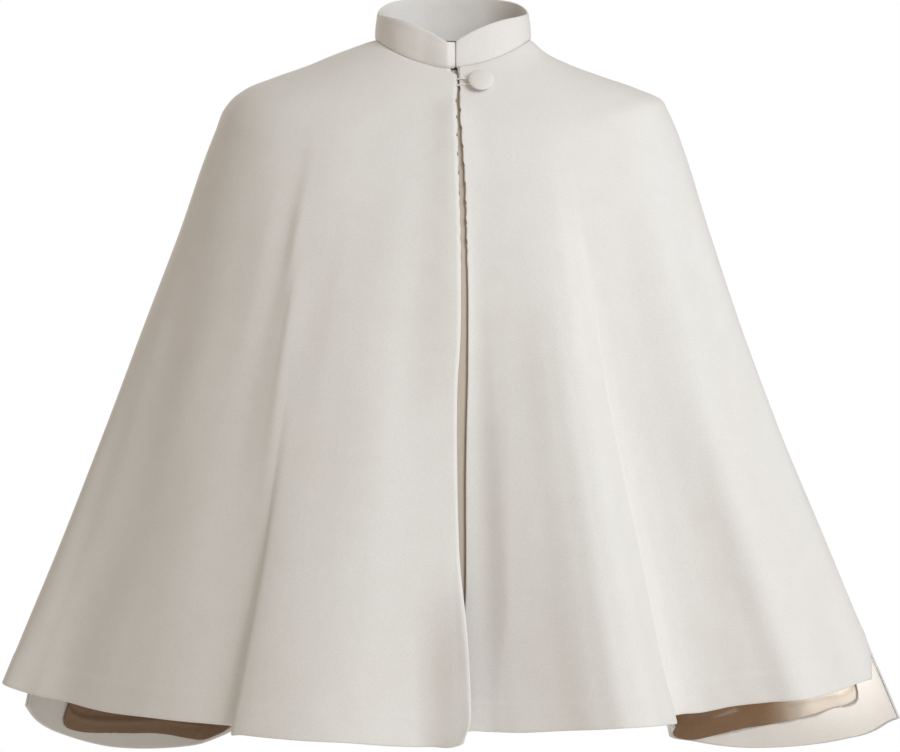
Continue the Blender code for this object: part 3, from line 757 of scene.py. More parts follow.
def shell(name, outer, normals, thickness, roundness):
    """A closed wall of cloth under a grid of outer points, with soft edges.

    roundness gives, for each point of the grid's edge, 1 for a turned edge and 0 for one in a seam.
    Returns the mesh, the area of its outer side in square millimetres, and its width and length.
    """
    rows, columns = outer.shape[:2]
    thickness = np.broadcast_to(thickness, (rows, columns))[..., None]
    inner = outer - normals * thickness
    count = rows * columns
    grid = np.arange(count).reshape(rows, columns)
    a, b, c, d = grid[:-1, :-1], grid[1:, :-1], grid[1:, 1:], grid[:-1, 1:]
    skin = np.stack([a, b, c, d], axis=-1).reshape(-1, 4)
    back = np.stack([a, d, c, b], axis=-1).reshape(-1, 4) + count
    points = [outer.reshape(-1, 3), inner.reshape(-1, 3)]

    rim = rim_of(rows, columns)
    i, j = rim[:, 0], rim[:, 1]
    inside = outer[np.clip(i, 1, rows - 2), np.clip(j, 1, columns - 2)]
    up = normals[i, j]
    away = outer[i, j] - inside
    away = unit(away - up * np.sum(away * up, axis=1, keepdims=True))
    half = thickness[i, j] / 2
    middle = (outer[i, j] + inner[i, j]) / 2
    around = len(rim)
    loops = [grid[i, j]]
    for turn in RIM_TURNS:
        lift = up * half * math.cos(math.pi * turn)
        bulge = away * half * math.sin(math.pi * turn) * roundness[:, None]
        loops.append(np.arange(around) + sum(len(p) for p in points))
        points.append(middle + lift + bulge)
    loops.append(grid[i, j] + count)
    edge = []
    for near, far in zip(loops, loops[1:]):
        edge.append(np.stack([near, np.roll(near, -1), np.roll(far, -1), far], axis=-1))
    faces = np.concatenate([skin, back] + edge).tolist()

    right = np.linalg.norm(np.diff(outer, axis=1), axis=2)
    low = np.linalg.norm(np.diff(outer, axis=0), axis=2)
    u = np.concatenate([np.zeros((rows, 1)), np.cumsum(right, axis=1)], axis=1)
    v = -np.concatenate([np.zeros((1, columns)), np.cumsum(low, axis=0)], axis=0)
    uv = np.stack([u - u[:, columns // 2 : columns // 2 + 1], v], axis=-1)
    flat = uv.reshape(-1, 2)
    uvs = np.concatenate([flat, flat] + [uv[i, j]] * len(RIM_TURNS))
    mesh = make_mesh(name, np.concatenate(points), faces, uvs)
    first = np.cross(outer[1:, :-1] - outer[:-1, :-1], outer[1:, 1:] - outer[:-1, :-1])
    second = np.cross(outer[1:, 1:] - outer[:-1, :-1], outer[:-1, 1:] - outer[:-1, :-1])
    area = (np.linalg.norm(first, axis=2) + np.linalg.norm(second, axis=2)).sum() / 2
    size = (float(right.sum(axis=1).max()), float(low.sum(axis=0).max()))
    return mesh, float(area), size


def line_second_side(mesh, rows, columns, material_index, first_row, last_row):
    """The inner faces between two rows get another material, such as a lining."""
    per_row = columns - 1
    start = (rows - 1) * per_row
    picked = np.zeros(len(mesh.polygons), dtype=np.int32)
    picked[start + first_row * per_row : start + last_row * per_row] = material_index
    mesh.polygons.foreach_set("material_index", picked)


def place_piece(piece, nodes):
    """Joins a finished piece to the cape and hides the solids that it stands for."""
    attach(piece, "root")
    if nodes:
        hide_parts(*nodes)


def cloth_piece(name, outer, normals, wall, rounded, materials, node, slot_name, held, rests_on):
    """A finished sheet of cloth that stands for a node. Returns its mesh."""
    mesh, area, size = shell(name, outer, normals, wall, rounded)
    piece = new_piece(name, mesh, *materials)
    place_piece(piece, [node])
    return mesh


def panel_rows(pitch):
    """Distances down the cloth, closer together over the shoulder and at the hem."""
    first, second = SHOULDER_ROWS
    stops = ((0.0, first, 2.0), (first, second, 3.6), (second, CLOTH_LENGTH - HEM_ROWS, pitch))
    rows = []
    for start, end, step in stops:
        rows += list(np.linspace(start, end, max(2, round((end - start) / step)), endpoint=False))
    return np.array(rows + list(np.linspace(CLOTH_LENGTH - HEM_ROWS, CLOTH_LENGTH, 19)))


def seam_dip(down):
    """The panels sink a little into the neck seam."""
    return -0.7 * np.exp(-((down / 3.2) ** 2))


def press_line(down, height):
    """The hem's turned-up edge shows through as a low step."""
    above = CLOTH_LENGTH - down
    return height * (1 - smooth(FACING_HEIGHT - 9, FACING_HEIGHT - 3, above)) + (
        0.5 * height * np.exp(-(((above - FACING_HEIGHT + 6) / 2.2) ** 2))
    )


def panel_walls(cloth, angles, down, settings, proud):
    """Outer points and normals of a panel, with the seam's dip and the hem's press line."""
    normals = cloth.normal(angles, down)
    line = press_line(down, settings.press_line / MM)
    out = cloth.relief(angles, down) + seam_dip(down) + line + proud
    return cloth.bare(angles, down) + normals * out[..., None], normals


def shared_normals(cloth, angles, down, normals):
    """Panels that meet at a side seam share the direction of their thickness, down to the vent."""
    other = BACK if cloth is FRONT else FRONT
    for seam, back_seam in ((LEFT_SIDE_SEAM, LEFT_SIDE_SEAM + 360), (RIGHT_SIDE_SEAM,) * 2):
        own_angle, other_angle = (seam, back_seam) if cloth is FRONT else (back_seam, seam)
        for column in (0, -1):
            if abs(angles[0, column] - own_angle) > 0.01:
                continue
            lines = down[:, column]
            apart = cloth.bare(own_angle, lines) - other.bare(other_angle, lines)
            share = np.clip(1 - np.linalg.norm(apart, axis=1) / VENT_BLEND, 0, 1)[:, None] / 2
            theirs = other.normal(np.full(lines.shape, other_angle), lines)
            normals[:, column] = unit(normals[:, column] * (1 - share) + theirs * share)
    return normals


def panel_roundness(angles, down, left_free, right_free):
    """How far each point of a panel's edge is rounded: the hem is, the neck seam isn't."""
    rows, columns = angles.shape
    rim = rim_of(rows, columns)
    rounded = np.zeros(len(rim))
    for k, (i, j) in enumerate(rim):
        if i == rows - 1:
            rounded[k] = 1.0
        elif i > 0 and j == 0:
            rounded[k] = left_free(down[i, j])
        elif i > 0 and j == columns - 1:
            rounded[k] = right_free(down[i, j])
    return rounded


def always(_down):
    return 1.0


def never(_down):
    return 0.0


def in_vent(down):
    """A side seam opens into a vent near the hem."""
    return float(smooth(*VENT_OPENS, down))


def build_panel(name, cloth, angles, down, free_edges, node, proud=0.0):
    """One wool panel; its inner side is lined with satin down to the hem's facing."""
    settings = bpy.context.scene.cape_cloth
    outer, normals = panel_walls(cloth, angles, down, settings, proud)
    normals = shared_normals(cloth, angles, down, normals)
    rounded = panel_roundness(angles, down, *free_edges)
    wall, materials = settings.wool_thickness / MM, (finish("wool"), finish("lining"))
    held = ("wool", "draped", ["wearer_shoulders"])
    mesh = cloth_piece(name, outer, normals, wall, rounded, materials, node, *held)
    if cloth is FRONT:
        lined = int(np.argmax(down[:, 0] > CLOTH_LENGTH - FACING_HEIGHT))
        line_second_side(mesh, *angles.shape, 1, 1, lined)


def grid_of(angle_rows, rows):
    """Two grids, of angles and of distances down the cloth."""
    angles = np.array(angle_rows)
    down = np.broadcast_to(np.asarray(rows)[:, None], angles.shape).copy()
    return angles, down


def plain_panel(name, cloth, seams, free_edges, node, coarseness=1.0):
    """A panel between two seams, with columns that run straight down from the neck."""
    settings = bpy.context.scene.cape_cloth
    rows = panel_rows(settings.row_pitch / MM)
    columns = cloth.lay_out(*seams, settings.column_pitch / MM * coarseness)
    build_panel(name, cloth, *grid_of([columns] * len(rows), rows), free_edges, node)


def stitch_tree():
    """Geometry Nodes that lay hand stitches along a drawn edge."""
    tree = bpy.data.node_groups.new("hand_stitches", "GeometryNodeTree")
    sockets = tree.interface
    for name, kind in (
        ("Geometry", "Geometry"),
        ("Spacing", "Float"),
        ("Stitch Length", "Float"),
        ("Thread Thickness", "Float"),
        ("Slant", "Float"),
        ("Seed", "Int"),
        ("Thread", "Material"),
    ):
        sockets.new_socket(name, in_out="INPUT", socket_type="NodeSocket" + kind)
    sockets.new_socket("Geometry", in_out="OUTPUT", socket_type="NodeSocketGeometry")
    given = tree.nodes.new("NodeGroupInput").outputs

    # A place for each stitch, turned along the edge and leaning a little more or less than the rest
    edge = add_node(tree, "GeometryNodeMeshToCurve", {"Mesh": given["Geometry"]}).outputs["Curve"]
    facts = {"Curve": edge, "Length": given["Spacing"]}
    places = add_node(tree, "GeometryNodeResampleCurve", facts, mode="LENGTH")
    facts = {"Vector": add_node(tree, "GeometryNodeInputTangent").outputs["Tangent"]}
    turned = add_node(tree, "FunctionNodeAlignRotationToVector", facts, axis="X")
    facts = {2: -0.16, 3: 0.16, "Seed": given["Seed"]}
    jitter = add_node(tree, "FunctionNodeRandomValue", facts, data_type="FLOAT")
    facts = {0: given["Slant"], 1: jitter.outputs[1]}
    slant = add_node(tree, "ShaderNodeMath", facts, operation="ADD")
    facts = {"Axis": (0.0, 1.0, 0.0), "Angle": slant.outputs[0]}
    lean = add_node(tree, "FunctionNodeAxisAngleToRotation", facts)
    facts = {"Rotation": turned.outputs["Rotation"], "Rotate By": lean.outputs["Rotation"]}
    turn = add_node(tree, "FunctionNodeRotateRotation", facts, rotation_space="GLOBAL")

    # One stitch: a short line, made round and thinner at its ends
    facts = {0: given["Stitch Length"], 1: 0.5}
    half = add_node(tree, "ShaderNodeMath", facts, operation="MULTIPLY").outputs[0]
    low = add_node(tree, "ShaderNodeMath", {0: half, 1: -1.0}, operation="MULTIPLY").outputs[0]
    start = add_node(tree, "ShaderNodeCombineXYZ", {"X": low}).outputs[0]
    end = add_node(tree, "ShaderNodeCombineXYZ", {"X": half}).outputs[0]
    thread = add_node(tree, "GeometryNodeCurvePrimitiveLine", {"Start": start, "End": end})
    facts = {"Curve": thread.outputs["Curve"], "Count": 7}
    bent = add_node(tree, "GeometryNodeResampleCurve", facts)
    facts = {0: add_node(tree, "GeometryNodeSplineParameter").outputs["Factor"], 1: math.pi}
    taper = add_node(tree, "ShaderNodeMath", facts, operation="MULTIPLY").outputs[0]
    bow = add_node(tree, "ShaderNodeMath", {0: taper}, operation="SINE").outputs[0]
    facts = {0: bow, 1: 0.6, 2: 0.4}
    width = add_node(tree, "ShaderNodeMath", facts, operation="MULTIPLY_ADD").outputs[0]
    facts = {"Curve": bent.outputs["Curve"], "Radius": width}
    slim = add_node(tree, "GeometryNodeSetCurveRadius", facts).outputs["Curve"]
    facts = {0: given["Thread Thickness"], 1: 0.5}
    thin = add_node(tree, "ShaderNodeMath", facts, operation="MULTIPLY").outputs[0]
    facts = {"Resolution": 8, "Radius": thin}
    ring = add_node(tree, "GeometryNodeCurvePrimitiveCircle", facts).outputs["Curve"]
    facts = {"Curve": slim, "Profile Curve": ring, "Fill Caps": True}
    tube = add_node(tree, "GeometryNodeCurveToMesh", facts)
    if "Scale" in tube.inputs:
        tree.links.new(width, tube.inputs["Scale"])

    facts = {
        "Points": places.outputs["Curve"],
        "Instance": tube.outputs["Mesh"],
        "Rotation": turn.outputs["Rotation"],
    }
    rows = add_node(tree, "GeometryNodeInstanceOnPoints", facts).outputs["Instances"]
    real = add_node(tree, "GeometryNodeRealizeInstances", {"Geometry": rows}).outputs["Geometry"]
    soft = add_node(tree, "GeometryNodeSetShadeSmooth", {"Geometry": real}).outputs["Geometry"]
    facts = {"Geometry": soft, "Material": given["Thread"]}
    coloured = add_node(tree, "GeometryNodeSetMaterial", facts)
    output = tree.nodes.new("NodeGroupOutput")
    tree.links.new(coloured.outputs["Geometry"], output.inputs["Geometry"])
    return tree


def run_tree(piece, tree, values):
    """Gives the piece the plain mesh that a Geometry Nodes tree makes from it."""
    modifier = piece.modifiers.new(tree.name, "NODES")
    modifier.node_group = tree
    for item in tree.interface.items_tree:
        if item.item_type == "SOCKET" and item.in_out == "INPUT" and item.name in values:
            modifier[item.identifier] = values[item.name]
    graph = bpy.context.evaluated_depsgraph_get()
    mesh = bpy.data.meshes.new_from_object(piece.evaluated_get(graph), depsgraph=graph)
    piece.modifiers.remove(modifier)
    piece.data = mesh


# ---------------------------------------------------------------- the pieces


class CAPE_OT_fronts(bpy.types.Operator):
    """Make the two centre fronts, from the cut edge to the seam in the first fold's valley"""

    bl_idname = "cape.fronts"
    bl_label = "Centre fronts"

    def execute(self, context):
        cloth = context.scene.cape_cloth
        rows = panel_rows(cloth.row_pitch / MM)
        for side, seams, free_edges in (
            ("left", (LEFT_FOLD_SEAM, LEFT_EDGE_COLUMN), (never, always)),
            ("right", (RIGHT_EDGE_COLUMN, RIGHT_FOLD_SEAM), (always, never)),
        ):
            edge = opening_angle(rows, side)[:, None]
            fixed = FRONT.lay_out(*seams, cloth.column_pitch / MM)
            columns = np.broadcast_to(fixed, (len(rows), len(fixed)))
            if side == "left":
                shares = 1 - np.linspace(1, 0, 17)[1:] ** EDGE_CROWDING
                lines = [columns, fixed[-1] + (edge - fixed[-1]) * shares]
            else:
                shares = np.linspace(0, 1, 14)[:-1] ** EDGE_CROWDING
                lines = [edge + (fixed[0] - edge) * shares, columns]
            angles, down = grid_of(np.concatenate(lines, axis=1), rows)
            proud = edge_roll(angles, down, side)
            name = side + "_front"
            build_panel(name + "_cloth", FRONT, angles, down, free_edges, name, proud)
        return {"FINISHED"}


class CAPE_OT_sides(bpy.types.Operator):
    """Make the two side panels that hang over the arms, down to their side vents"""

    bl_idname = "cape.sides"
    bl_label = "Side panels"

    def execute(self, context):
        seams = (LEFT_SIDE_SEAM, LEFT_FOLD_SEAM)
        plain_panel("left_side_cloth", FRONT, seams, (in_vent, never), "left_side")
        seams = (RIGHT_FOLD_SEAM, RIGHT_SIDE_SEAM)
        plain_panel("right_side_cloth", FRONT, seams, (never, in_vent), "right_side")
        return {"FINISHED"}


class CAPE_OT_back(bpy.types.Operator):
    """Make the back panel, which falls in deep flutes"""

    bl_idname = "cape.back"
    bl_label = "Back panel"

    def execute(self, context):
        seams = (RIGHT_SIDE_SEAM, BACK_FOLDS[-1].angle)
        plain_panel("back_cloth", BACK, seams, (in_vent, in_vent), "back", BACK_COARSENESS)
        return {"FINISHED"}


def inside_layer(name, rows_at, depth, thickness, material, node, slot_name, lining=False):
    """A layer on the back's inner face, drawn in a little from the side seams."""
    cloth = bpy.context.scene.cape_cloth
    last_angle = BACK_FOLDS[-1].angle
    fixed = BACK.lay_out(RIGHT_SIDE_SEAM, last_angle, cloth.column_pitch / MM * INSIDE_COARSENESS)
    drawn_in = 0.45 if lining else 0.03
    fixed = np.clip(fixed, RIGHT_SIDE_SEAM + drawn_in, last_angle - drawn_in)
    share = (fixed - fixed[0]) / (fixed[-1] - fixed[0])
    foot = LINING_SIDES[0] + share * (LINING_SIDES[1] - LINING_SIDES[0]) if lining else fixed
    down = rows_at(foot)
    angles = np.broadcast_to(fixed, down.shape).copy()
    if lining:
        angles += (foot - fixed) * smooth(150, 22, CLOTH_LENGTH - down)
    normals = BACK.normal(angles, down)
    out = BACK.relief(angles, down) - depth
    if lining:
        out = out - lining_wrinkles(angles, down)
    outer = BACK.bare(angles, down) + normals * out[..., None]
    rounded = np.full(len(rim_of(*angles.shape)), 0.8 if lining else 0.2)
    held = (slot_name, "hung", ["back_cloth"])
    cloth_piece(name, outer, normals, thickness, rounded, [material], node, *held)


def facing_rows(angles):
    """The facing is deeper at its two ends, where it runs up beside the side vents."""
    first, last = LINING_SIDES
    ends = smooth(first + 3.5, first - 0.5, angles) + smooth(last - 3.5, last + 0.5, angles)
    height = FACING_HEIGHT + (VENT_FACING - FACING_HEIGHT) * ends
    share = np.linspace(0, 1, 16)[:, None]
    return CLOTH_LENGTH - height * (1 - share) - 0.8 * share


def lining_rows(angles):
    """From under the collar down to the lining's own hem, with closer rows near it."""
    first, last = LINING_SIDES
    above = read_off(LINING_HEM, "above_hem", angles)
    corner = np.minimum(angles - first, last - angles) * 7.0
    above = above + 6.0 * np.clip(1 - corner / 8.0, 0, 1) ** 2
    share = np.concatenate([np.linspace(0, 0.9, 96), np.linspace(0.9, 1, 34)[1:]])
    return LINING_TOP + share[:, None] * (CLOTH_LENGTH - above - LINING_TOP)


def lining_wrinkles(angles, down):
    """The lining sags over its hem: a long tuck above its edge, and short slanting wrinkles."""
    above = CLOTH_LENGTH - down
    edge = above[-1]
    low = (1 - smooth(20, 150, above)) * smooth(0, 14, above)
    turn = np.radians(angles)
    run = turn * 40 + down / 15
    ripple = np.sin(run + 0.8 * np.sin(turn * 17)) * 0.5 + 0.5
    wide = np.sin(turn * 24 + 0.6) * 0.5 + 0.5
    short = np.sin(turn * 95 - down / 6 + 2.2 * np.sin(turn * 31)) * np.sin(turn * 13 + down / 19)
    tuck = 2.2 * np.exp(-(((above - edge - 14 - 2.5 * np.sin(turn * 9)) / 2.6) ** 2))
    return (1.6 * ripple**1.5 + 1.1 * wide + 1.4 * short**2) * low + 0.3 + tuck * smooth(0, 6, edge)


class CAPE_OT_inside(bpy.types.Operator):
    """Make the hem facing and the satin lining inside the back"""

    bl_idname = "cape.inside"
    bl_label = "Facing and lining"

    def execute(self, context):
        cloth = context.scene.cape_cloth
        wool_wall = cloth.wool_thickness / MM
        facing_wall = cloth.facing_thickness / MM

        depth = wool_wall + FACING_GAP
        made = (facing_wall, finish("wool"), "back_facing", "wool")
        inside_layer("back_facing_cloth", facing_rows, depth, *made)
        depth = depth + facing_wall + LINING_GAP
        made = (cloth.lining_thickness / MM, finish("lining"), "back_lining", "lining")
        inside_layer("back_lining_cloth", lining_rows, depth, *made, lining=True)
        return {"FINISHED"}


class CAPE_OT_underlap(bpy.types.Operator):
    """Make the strip behind the front opening, of wool darkened as painted shade in the gap"""

    bl_idname = "cape.underlap"
    bl_label = "Underlap"

    def execute(self, context):
        cloth = context.scene.cape_cloth
        rows = np.linspace(UNDERLAP_TOP, CLOTH_LENGTH - UNDERLAP_END, 190)
        left, right = opening_angle(rows, "left"), opening_angle(rows, "right")
        step = FRONT.bare(left + 0.1, rows)[:, 0] - FRONT.bare(left, rows)[:, 0]
        reach = UNDERLAP_REACH * 0.1 / step
        shares = np.linspace(0, 1, 19)
        angles = (left - reach)[:, None] + ((right - left) + 2 * reach)[:, None] * shares
        down = np.broadcast_to(rows[:, None], angles.shape).copy()
        depth = cloth.wool_thickness / MM + UNDERLAP_GAP + right_tuck(down)
        outer = FRONT.surface(angles, down, depth)
        rounded = np.full(len(rim_of(*angles.shape)), 0.8)
        normals, wall = FRONT.normal(angles, down), cloth.underlap_thickness / MM
        held = ("underlap_wool", "hung", ["left_front_cloth"])
        made = (rounded, [finish("underlap")], "underlap", *held)
        cloth_piece("underlap_cloth", outer, normals, wall, *made)
        return {"FINISHED"}


class CAPE_OT_collar(bpy.types.Operator):
    """Make the stand collar, an interfaced band with a rolled top edge"""

    bl_idname = "cape.collar"
    bl_label = "Stand collar"

    def execute(self, context):
        cloth = context.scene.cape_cloth
        wall = cloth.collar_thickness / MM
        first, last = COLLAR_ENDS[1] + 0.9, 360 + COLLAR_ENDS[0] + 0.5
        coarse_end, fine_start = COLLAR_FINE
        angles = [np.linspace(first, coarse_end, 270), np.linspace(fine_start, last, 46)]
        angles = np.concatenate(angles)
        # The left end stands proud and turns in beside the right one
        end_roll = 4.6 * smooth(coarse_end, 358.5, angles)
        end_roll = end_roll * (1 - smooth(357.6, last + 1.0, angles))
        in_back = (angles > RIGHT_SIDE_SEAM) & (angles < BACK_FOLDS[-1].angle)
        wrapped = np.where(angles < BACK_FOLDS[-1].angle, angles, angles - 360)
        zero, two = np.zeros(len(angles)), np.full(len(angles), 2.0)
        in_back = in_back[:, None]
        seam = np.where(in_back, BACK.bare(wrapped, zero), FRONT.bare(wrapped, zero))
        below = np.where(in_back, BACK.bare(wrapped, two), FRONT.bare(wrapped, two))
        lie = np.where(in_back, BACK.normal(wrapped, zero), FRONT.normal(wrapped, zero))
        uphill = unit(seam - below)
        turn = np.radians(angles)
        across = np.stack([np.sin(turn), -np.cos(turn), np.zeros(len(turn))], axis=1)
        turned = np.abs((angles + 180) % 360 - 180)
        rim_z, lean = read_off(COLLAR, "rim_z", turned), read_off(COLLAR, "lean", turned)
        foot = seam + uphill * 0.05
        rim = np.stack([seam[:, 0], seam[:, 1], rim_z], axis=1) - across * lean[:, None]
        heights = np.concatenate([[0.0, 0.03, 0.07], np.linspace(0.12, 0.9, 14), [0.94, 0.97, 1.0]])
        grid, ups, walls = [], [], []
        for share in heights[::-1]:
            inward = unit(lie + (across - lie) * min(1.0, share / 0.4))
            # The band swells a little between the seam and the rolled edge, and dips at the seam
            out = 0.8 * math.sin(math.pi * share) - 0.7 * math.exp(-((share / 0.05) ** 2))
            out += 0.35 * math.exp(-(((share - 0.93) / 0.06) ** 2))
            uneven = 0.35 * np.sin(turn * 9 + 1.0) * np.sin(turn * 4 + 0.3)
            uneven = uneven * math.sin(math.pi * share)
            point = foot + (rim - foot) * share
            grid.append(point + across * (out + uneven + end_roll)[:, None])
            ups.append(inward)
            walls.append(np.full(len(angles), wall * (1.0 if share < 0.97 else 0.85)))
        outer, normals = np.array(grid), np.array(ups)
        rim_points = rim_of(*outer.shape[:2])
        rounded = np.where(rim_points[:, 0] == outer.shape[0] - 1, 0.0, 0.9)
        held = ("wool", "folded", ["left_front_cloth", "back_cloth"])
        made = (rounded, [finish("wool")], "collar", *held)
        cloth_piece("collar_cloth", outer, normals, np.array(walls), *made)
        return {"FINISHED"}


def button_place():
    """Where the button sits on the right front, and which way it faces."""
    angles = FRONT.angle_at(BUTTON_X, NECK_LINES)
    drops = -FRONT.bare(angles, NECK_LINES)[:, 2]
    k = int(np.argmax(drops >= BUTTON_DROP))
    place = FRONT.bare(angles[k], NECK_LINES[k])
    return Vector(place), Vector(FRONT.normal(angles[k], NECK_LINES[k]))


def turned_mesh(name, profile, place, facing, steps, gathers=0.0):
    """A closed piece turned about its own axis, from a profile of radius and height."""
    points, faces = [], []
    for radius, height in profile[1:-1]:
        for k in range(steps):
            turn = math.tau * k / steps
            low = max(0.0, 1 - height / 2.4)
            pleat = 1 + gathers * low * math.sin(turn * 17 + 0.6 * math.sin(turn * 5))
            wide = radius * pleat
            points.append((wide * math.cos(turn), wide * math.sin(turn), height))
    rings = len(profile) - 2
    for ring in range(rings - 1):
        for k in range(steps):
            here, there = ring * steps + k, ring * steps + (k + 1) % steps
            faces.append((here, there, there + steps, here + steps))
    low, high = len(points), len(points) + 1
    points += [(0.0, 0.0, profile[0][1]), (0.0, 0.0, profile[-1][1])]
    for k in range(steps):
        following = (k + 1) % steps
        faces.append((low, following, k))
        last = (rings - 1) * steps
        faces.append((high, last + k, last + following))
    turn = facing.to_track_quat("Z", "Y").to_matrix()
    placed = [tuple(place + turn @ Vector(point)) for point in points]
    flat = [(x, y) for x, y, _ in points]
    return make_mesh(name, placed, faces, flat)


class CAPE_OT_button(bpy.types.Operator):
    """Make the cloth-covered button and its thread shank"""

    bl_idname = "cape.button"
    bl_label = "Button"

    def execute(self, context):
        trim = context.scene.cape_trim
        place, facing = button_place()
        base = place + facing * 0.1
        r, h = trim.button_radius / MM, trim.button_height / MM
        profile = [(0, 0.3), (0.35 * r, 0.25), (0.7 * r, 0.1), (0.86 * r, 0.25)]
        profile += [(0.95 * r, 0.2 * h), (0.99 * r, 0.3 * h), (r, 0.4 * h)]
        for k in range(1, 13):
            a = math.pi / 2 * k / 13
            profile.append((r * math.cos(a) ** 0.92, h * (0.4 + 0.6 * math.sin(a))))
        profile.append((0, h))
        head = base + facing * (SHANK_HEIGHT + 0.2)
        mesh = turned_mesh("button_cover", profile, head, facing, 96, 0.018)
        place_piece(new_piece("button_cover", mesh, finish("wool")), ["button"])
        shank = [(0, 0), (SHANK_RADIUS * 0.8, 0.0)]
        wraps = 5
        for k in range(wraps * 6 + 1):
            height = SHANK_HEIGHT * k / (wraps * 6)
            bead = abs(math.sin(math.pi * k / 6))
            shank.append((SHANK_RADIUS * (0.84 + 0.16 * bead), height + 0.05))
        shank += [(SHANK_RADIUS * 0.8, SHANK_HEIGHT + 0.1), (0, SHANK_HEIGHT + 0.1)]
        mesh = turned_mesh("button_shank_thread", shank, base, facing, 32)
        piece = new_piece("button_shank_thread", mesh, finish("loop"))
        place_piece(piece, ["button_shank"])
        return {"FINISHED"}


def plied_strand(name, route, radius, twist_length):
    """A two-ply twisted strand along a route of points in millimetres."""
    points = np.array([tuple(p) for p in route])
    run = np.concatenate([[0.0], np.cumsum(np.linalg.norm(np.diff(points, axis=0), axis=1))])
    steps = 70
    at = np.linspace(0, run[-1], steps)
    centre = hermite(run, points, at)
    along = unit(np.gradient(centre, axis=0))
    side = unit(np.cross(along, [0.0, 0.0, 1.0]))
    up = np.cross(side, along)
    ply, around = radius * 0.56, 10
    faces, verts, uvs = [], [], []
    for start in (0.0, math.pi):
        first = len(verts)
        phase = start + math.tau * at / twist_length
        round_core = side * np.cos(phase)[:, None] + up * np.sin(phase)[:, None]
        core = centre + round_core * radius * 0.44
        for i in range(steps):
            slim = 1.0 if 0 < i < steps - 1 else 0.55
            for k in range(around):
                turn = math.tau * k / around
                out = side[i] * math.cos(turn) + up[i] * math.sin(turn)
                verts.append(core[i] + out * ply * slim)
                uvs.append((k * ply, at[i]))
        for i in range(steps - 1):
            for k in range(around):
                a, b = first + i * around + k, first + i * around + (k + 1) % around
                faces.append((a, b, b + around, a + around))
        faces.append([first + k for k in range(around)][::-1])
        faces.append([first + (steps - 1) * around + k for k in range(around)])
    mesh = make_mesh(name, np.array(verts), faces, uvs)
    work = bmesh.new()
    work.from_mesh(mesh)
    bmesh.ops.recalc_face_normals(work, faces=work.faces)
    work.to_mesh(mesh)
    work.free()
    return mesh


class CAPE_OT_loop(bpy.types.Operator):
    """Make the two twisted strands of the loop that holds the button"""

    bl_idname = "cape.loop"
    bl_label = "Button loop"

    def execute(self, context):
        trim = context.scene.cape_trim
        radius = trim.loop_radius / MM
        place, facing = button_place()
        for name, height in zip(("loop_upper", "loop_lower"), LOOP_STRANDS):
            edges = opening_angle(NECK_LINES, "left")
            heights = FRONT.bare(edges, NECK_LINES)[:, 2]
            k = int(np.argmax(heights <= place.z + height))
            down, edge = NECK_LINES[k], edges[k]
            inside = FRONT.angle_at(FRONT.bare(edge, down)[0] - 1, down)
            start = Vector(FRONT.bare(inside, down))
            end = place + Vector((-SHANK_RADIUS - radius - GAP, 0, 0.4 * height))
            route = []
            for share in (0.0, 0.12, 0.3, 0.55, 0.8, 1.0):
                point = start.lerp(end, share)
                under = Vector(FRONT.bare(FRONT.angle_at(point.x, down), down))
                lift = -2.4 + 3.8 * min(1.0, share * 5)
                bend = 0.5 * math.sin(math.pi * share) * (1 if height > 0 else -1)
                on_cloth = Vector((point.x, min(point.y, under.y), point.z + bend))
                route.append(on_cloth + facing * lift)
            mesh = plied_strand(name + "_thread", route, radius, 4.2)
            piece = new_piece(name + "_thread", mesh, finish("loop"))
            place_piece(piece, [name])
        return {"FINISHED"}


class CAPE_OT_stitches(bpy.types.Operator):
    """Sew the hand stitches along both front edges"""

    bl_idname = "cape.stitches"
    bl_label = "Edge stitches"

    def execute(self, context):
        cloth = context.scene.cape_cloth
        tree = stitch_tree()
        for side, past_edge, slant in (("left", 0.5, 0.12), ("right", -0.5, -0.16)):
            row = STITCHES[side]
            count = round((row.last - row.first) / row.spacing)
            fine = np.linspace(0, 400, 1601)
            drops = -level(fine)[:, 4]
            wanted = np.linspace(row.first, row.last, count * 8 + 1)
            down = np.interp(wanted, drops, fine)
            edge = opening_angle(down, side)
            angles = FRONT.angle_at(opening_x(down, side) + past_edge, down)
            proud = edge_roll(edge[:, None], down[:, None], side)[:, 0]
            points = FRONT.surface(angles, down, 0.7 - proud)
            edges = [(k, k + 1) for k in range(len(points) - 1)]
            mesh = bpy.data.meshes.new(side)
            mesh.from_pydata((points * MM).tolist(), edges, [])
            piece = new_piece(side + "_edge_stitches", mesh)
            length = float(np.linalg.norm(np.diff(points, axis=0), axis=1).sum())
            sizes = {
                "Spacing": length / count * MM * 0.999,
                "Stitch Length": cloth.stitch_length,
                "Thread Thickness": cloth.stitch_thread,
                "Slant": slant,
                "Seed": 7,
                "Thread": finish("stitches"),
            }
            run_tree(piece, tree, sizes)
            place_piece(piece, [])
        return {"FINISHED"}


# ---------------------------------------------------------------- the studio


FLOOR_Z, FLOOR_RADIUS = -1.38, 4.6
CAMERA_PLACE = (0.0, -3.0, -0.333)
CAPE_MIDDLE = (0.0, 0.0, -0.33)
HEM_LAMP_AIM = (0.43, 0.1, -0.715)
AMBIENT_COLOUR = (1.0, 0.89, 0.745, 1.0)
WHITE = (1.0, 1.0, 1.0, 1.0)


def area_light(name, place, aim, size, watts, colour):
    light = bpy.data.lights.new(name, "AREA")
    light.shape = "RECTANGLE"
    light.size, light.size_y = size
    light.energy = watts
    light.color = colour
    lamp = bpy.data.objects.new(name, light)
    lamp.location = place
    lamp.rotation_euler = (Vector(aim) - Vector(place)).to_track_quat("-Z", "Y").to_euler()
    bpy.context.scene.collection.objects.link(lamp)


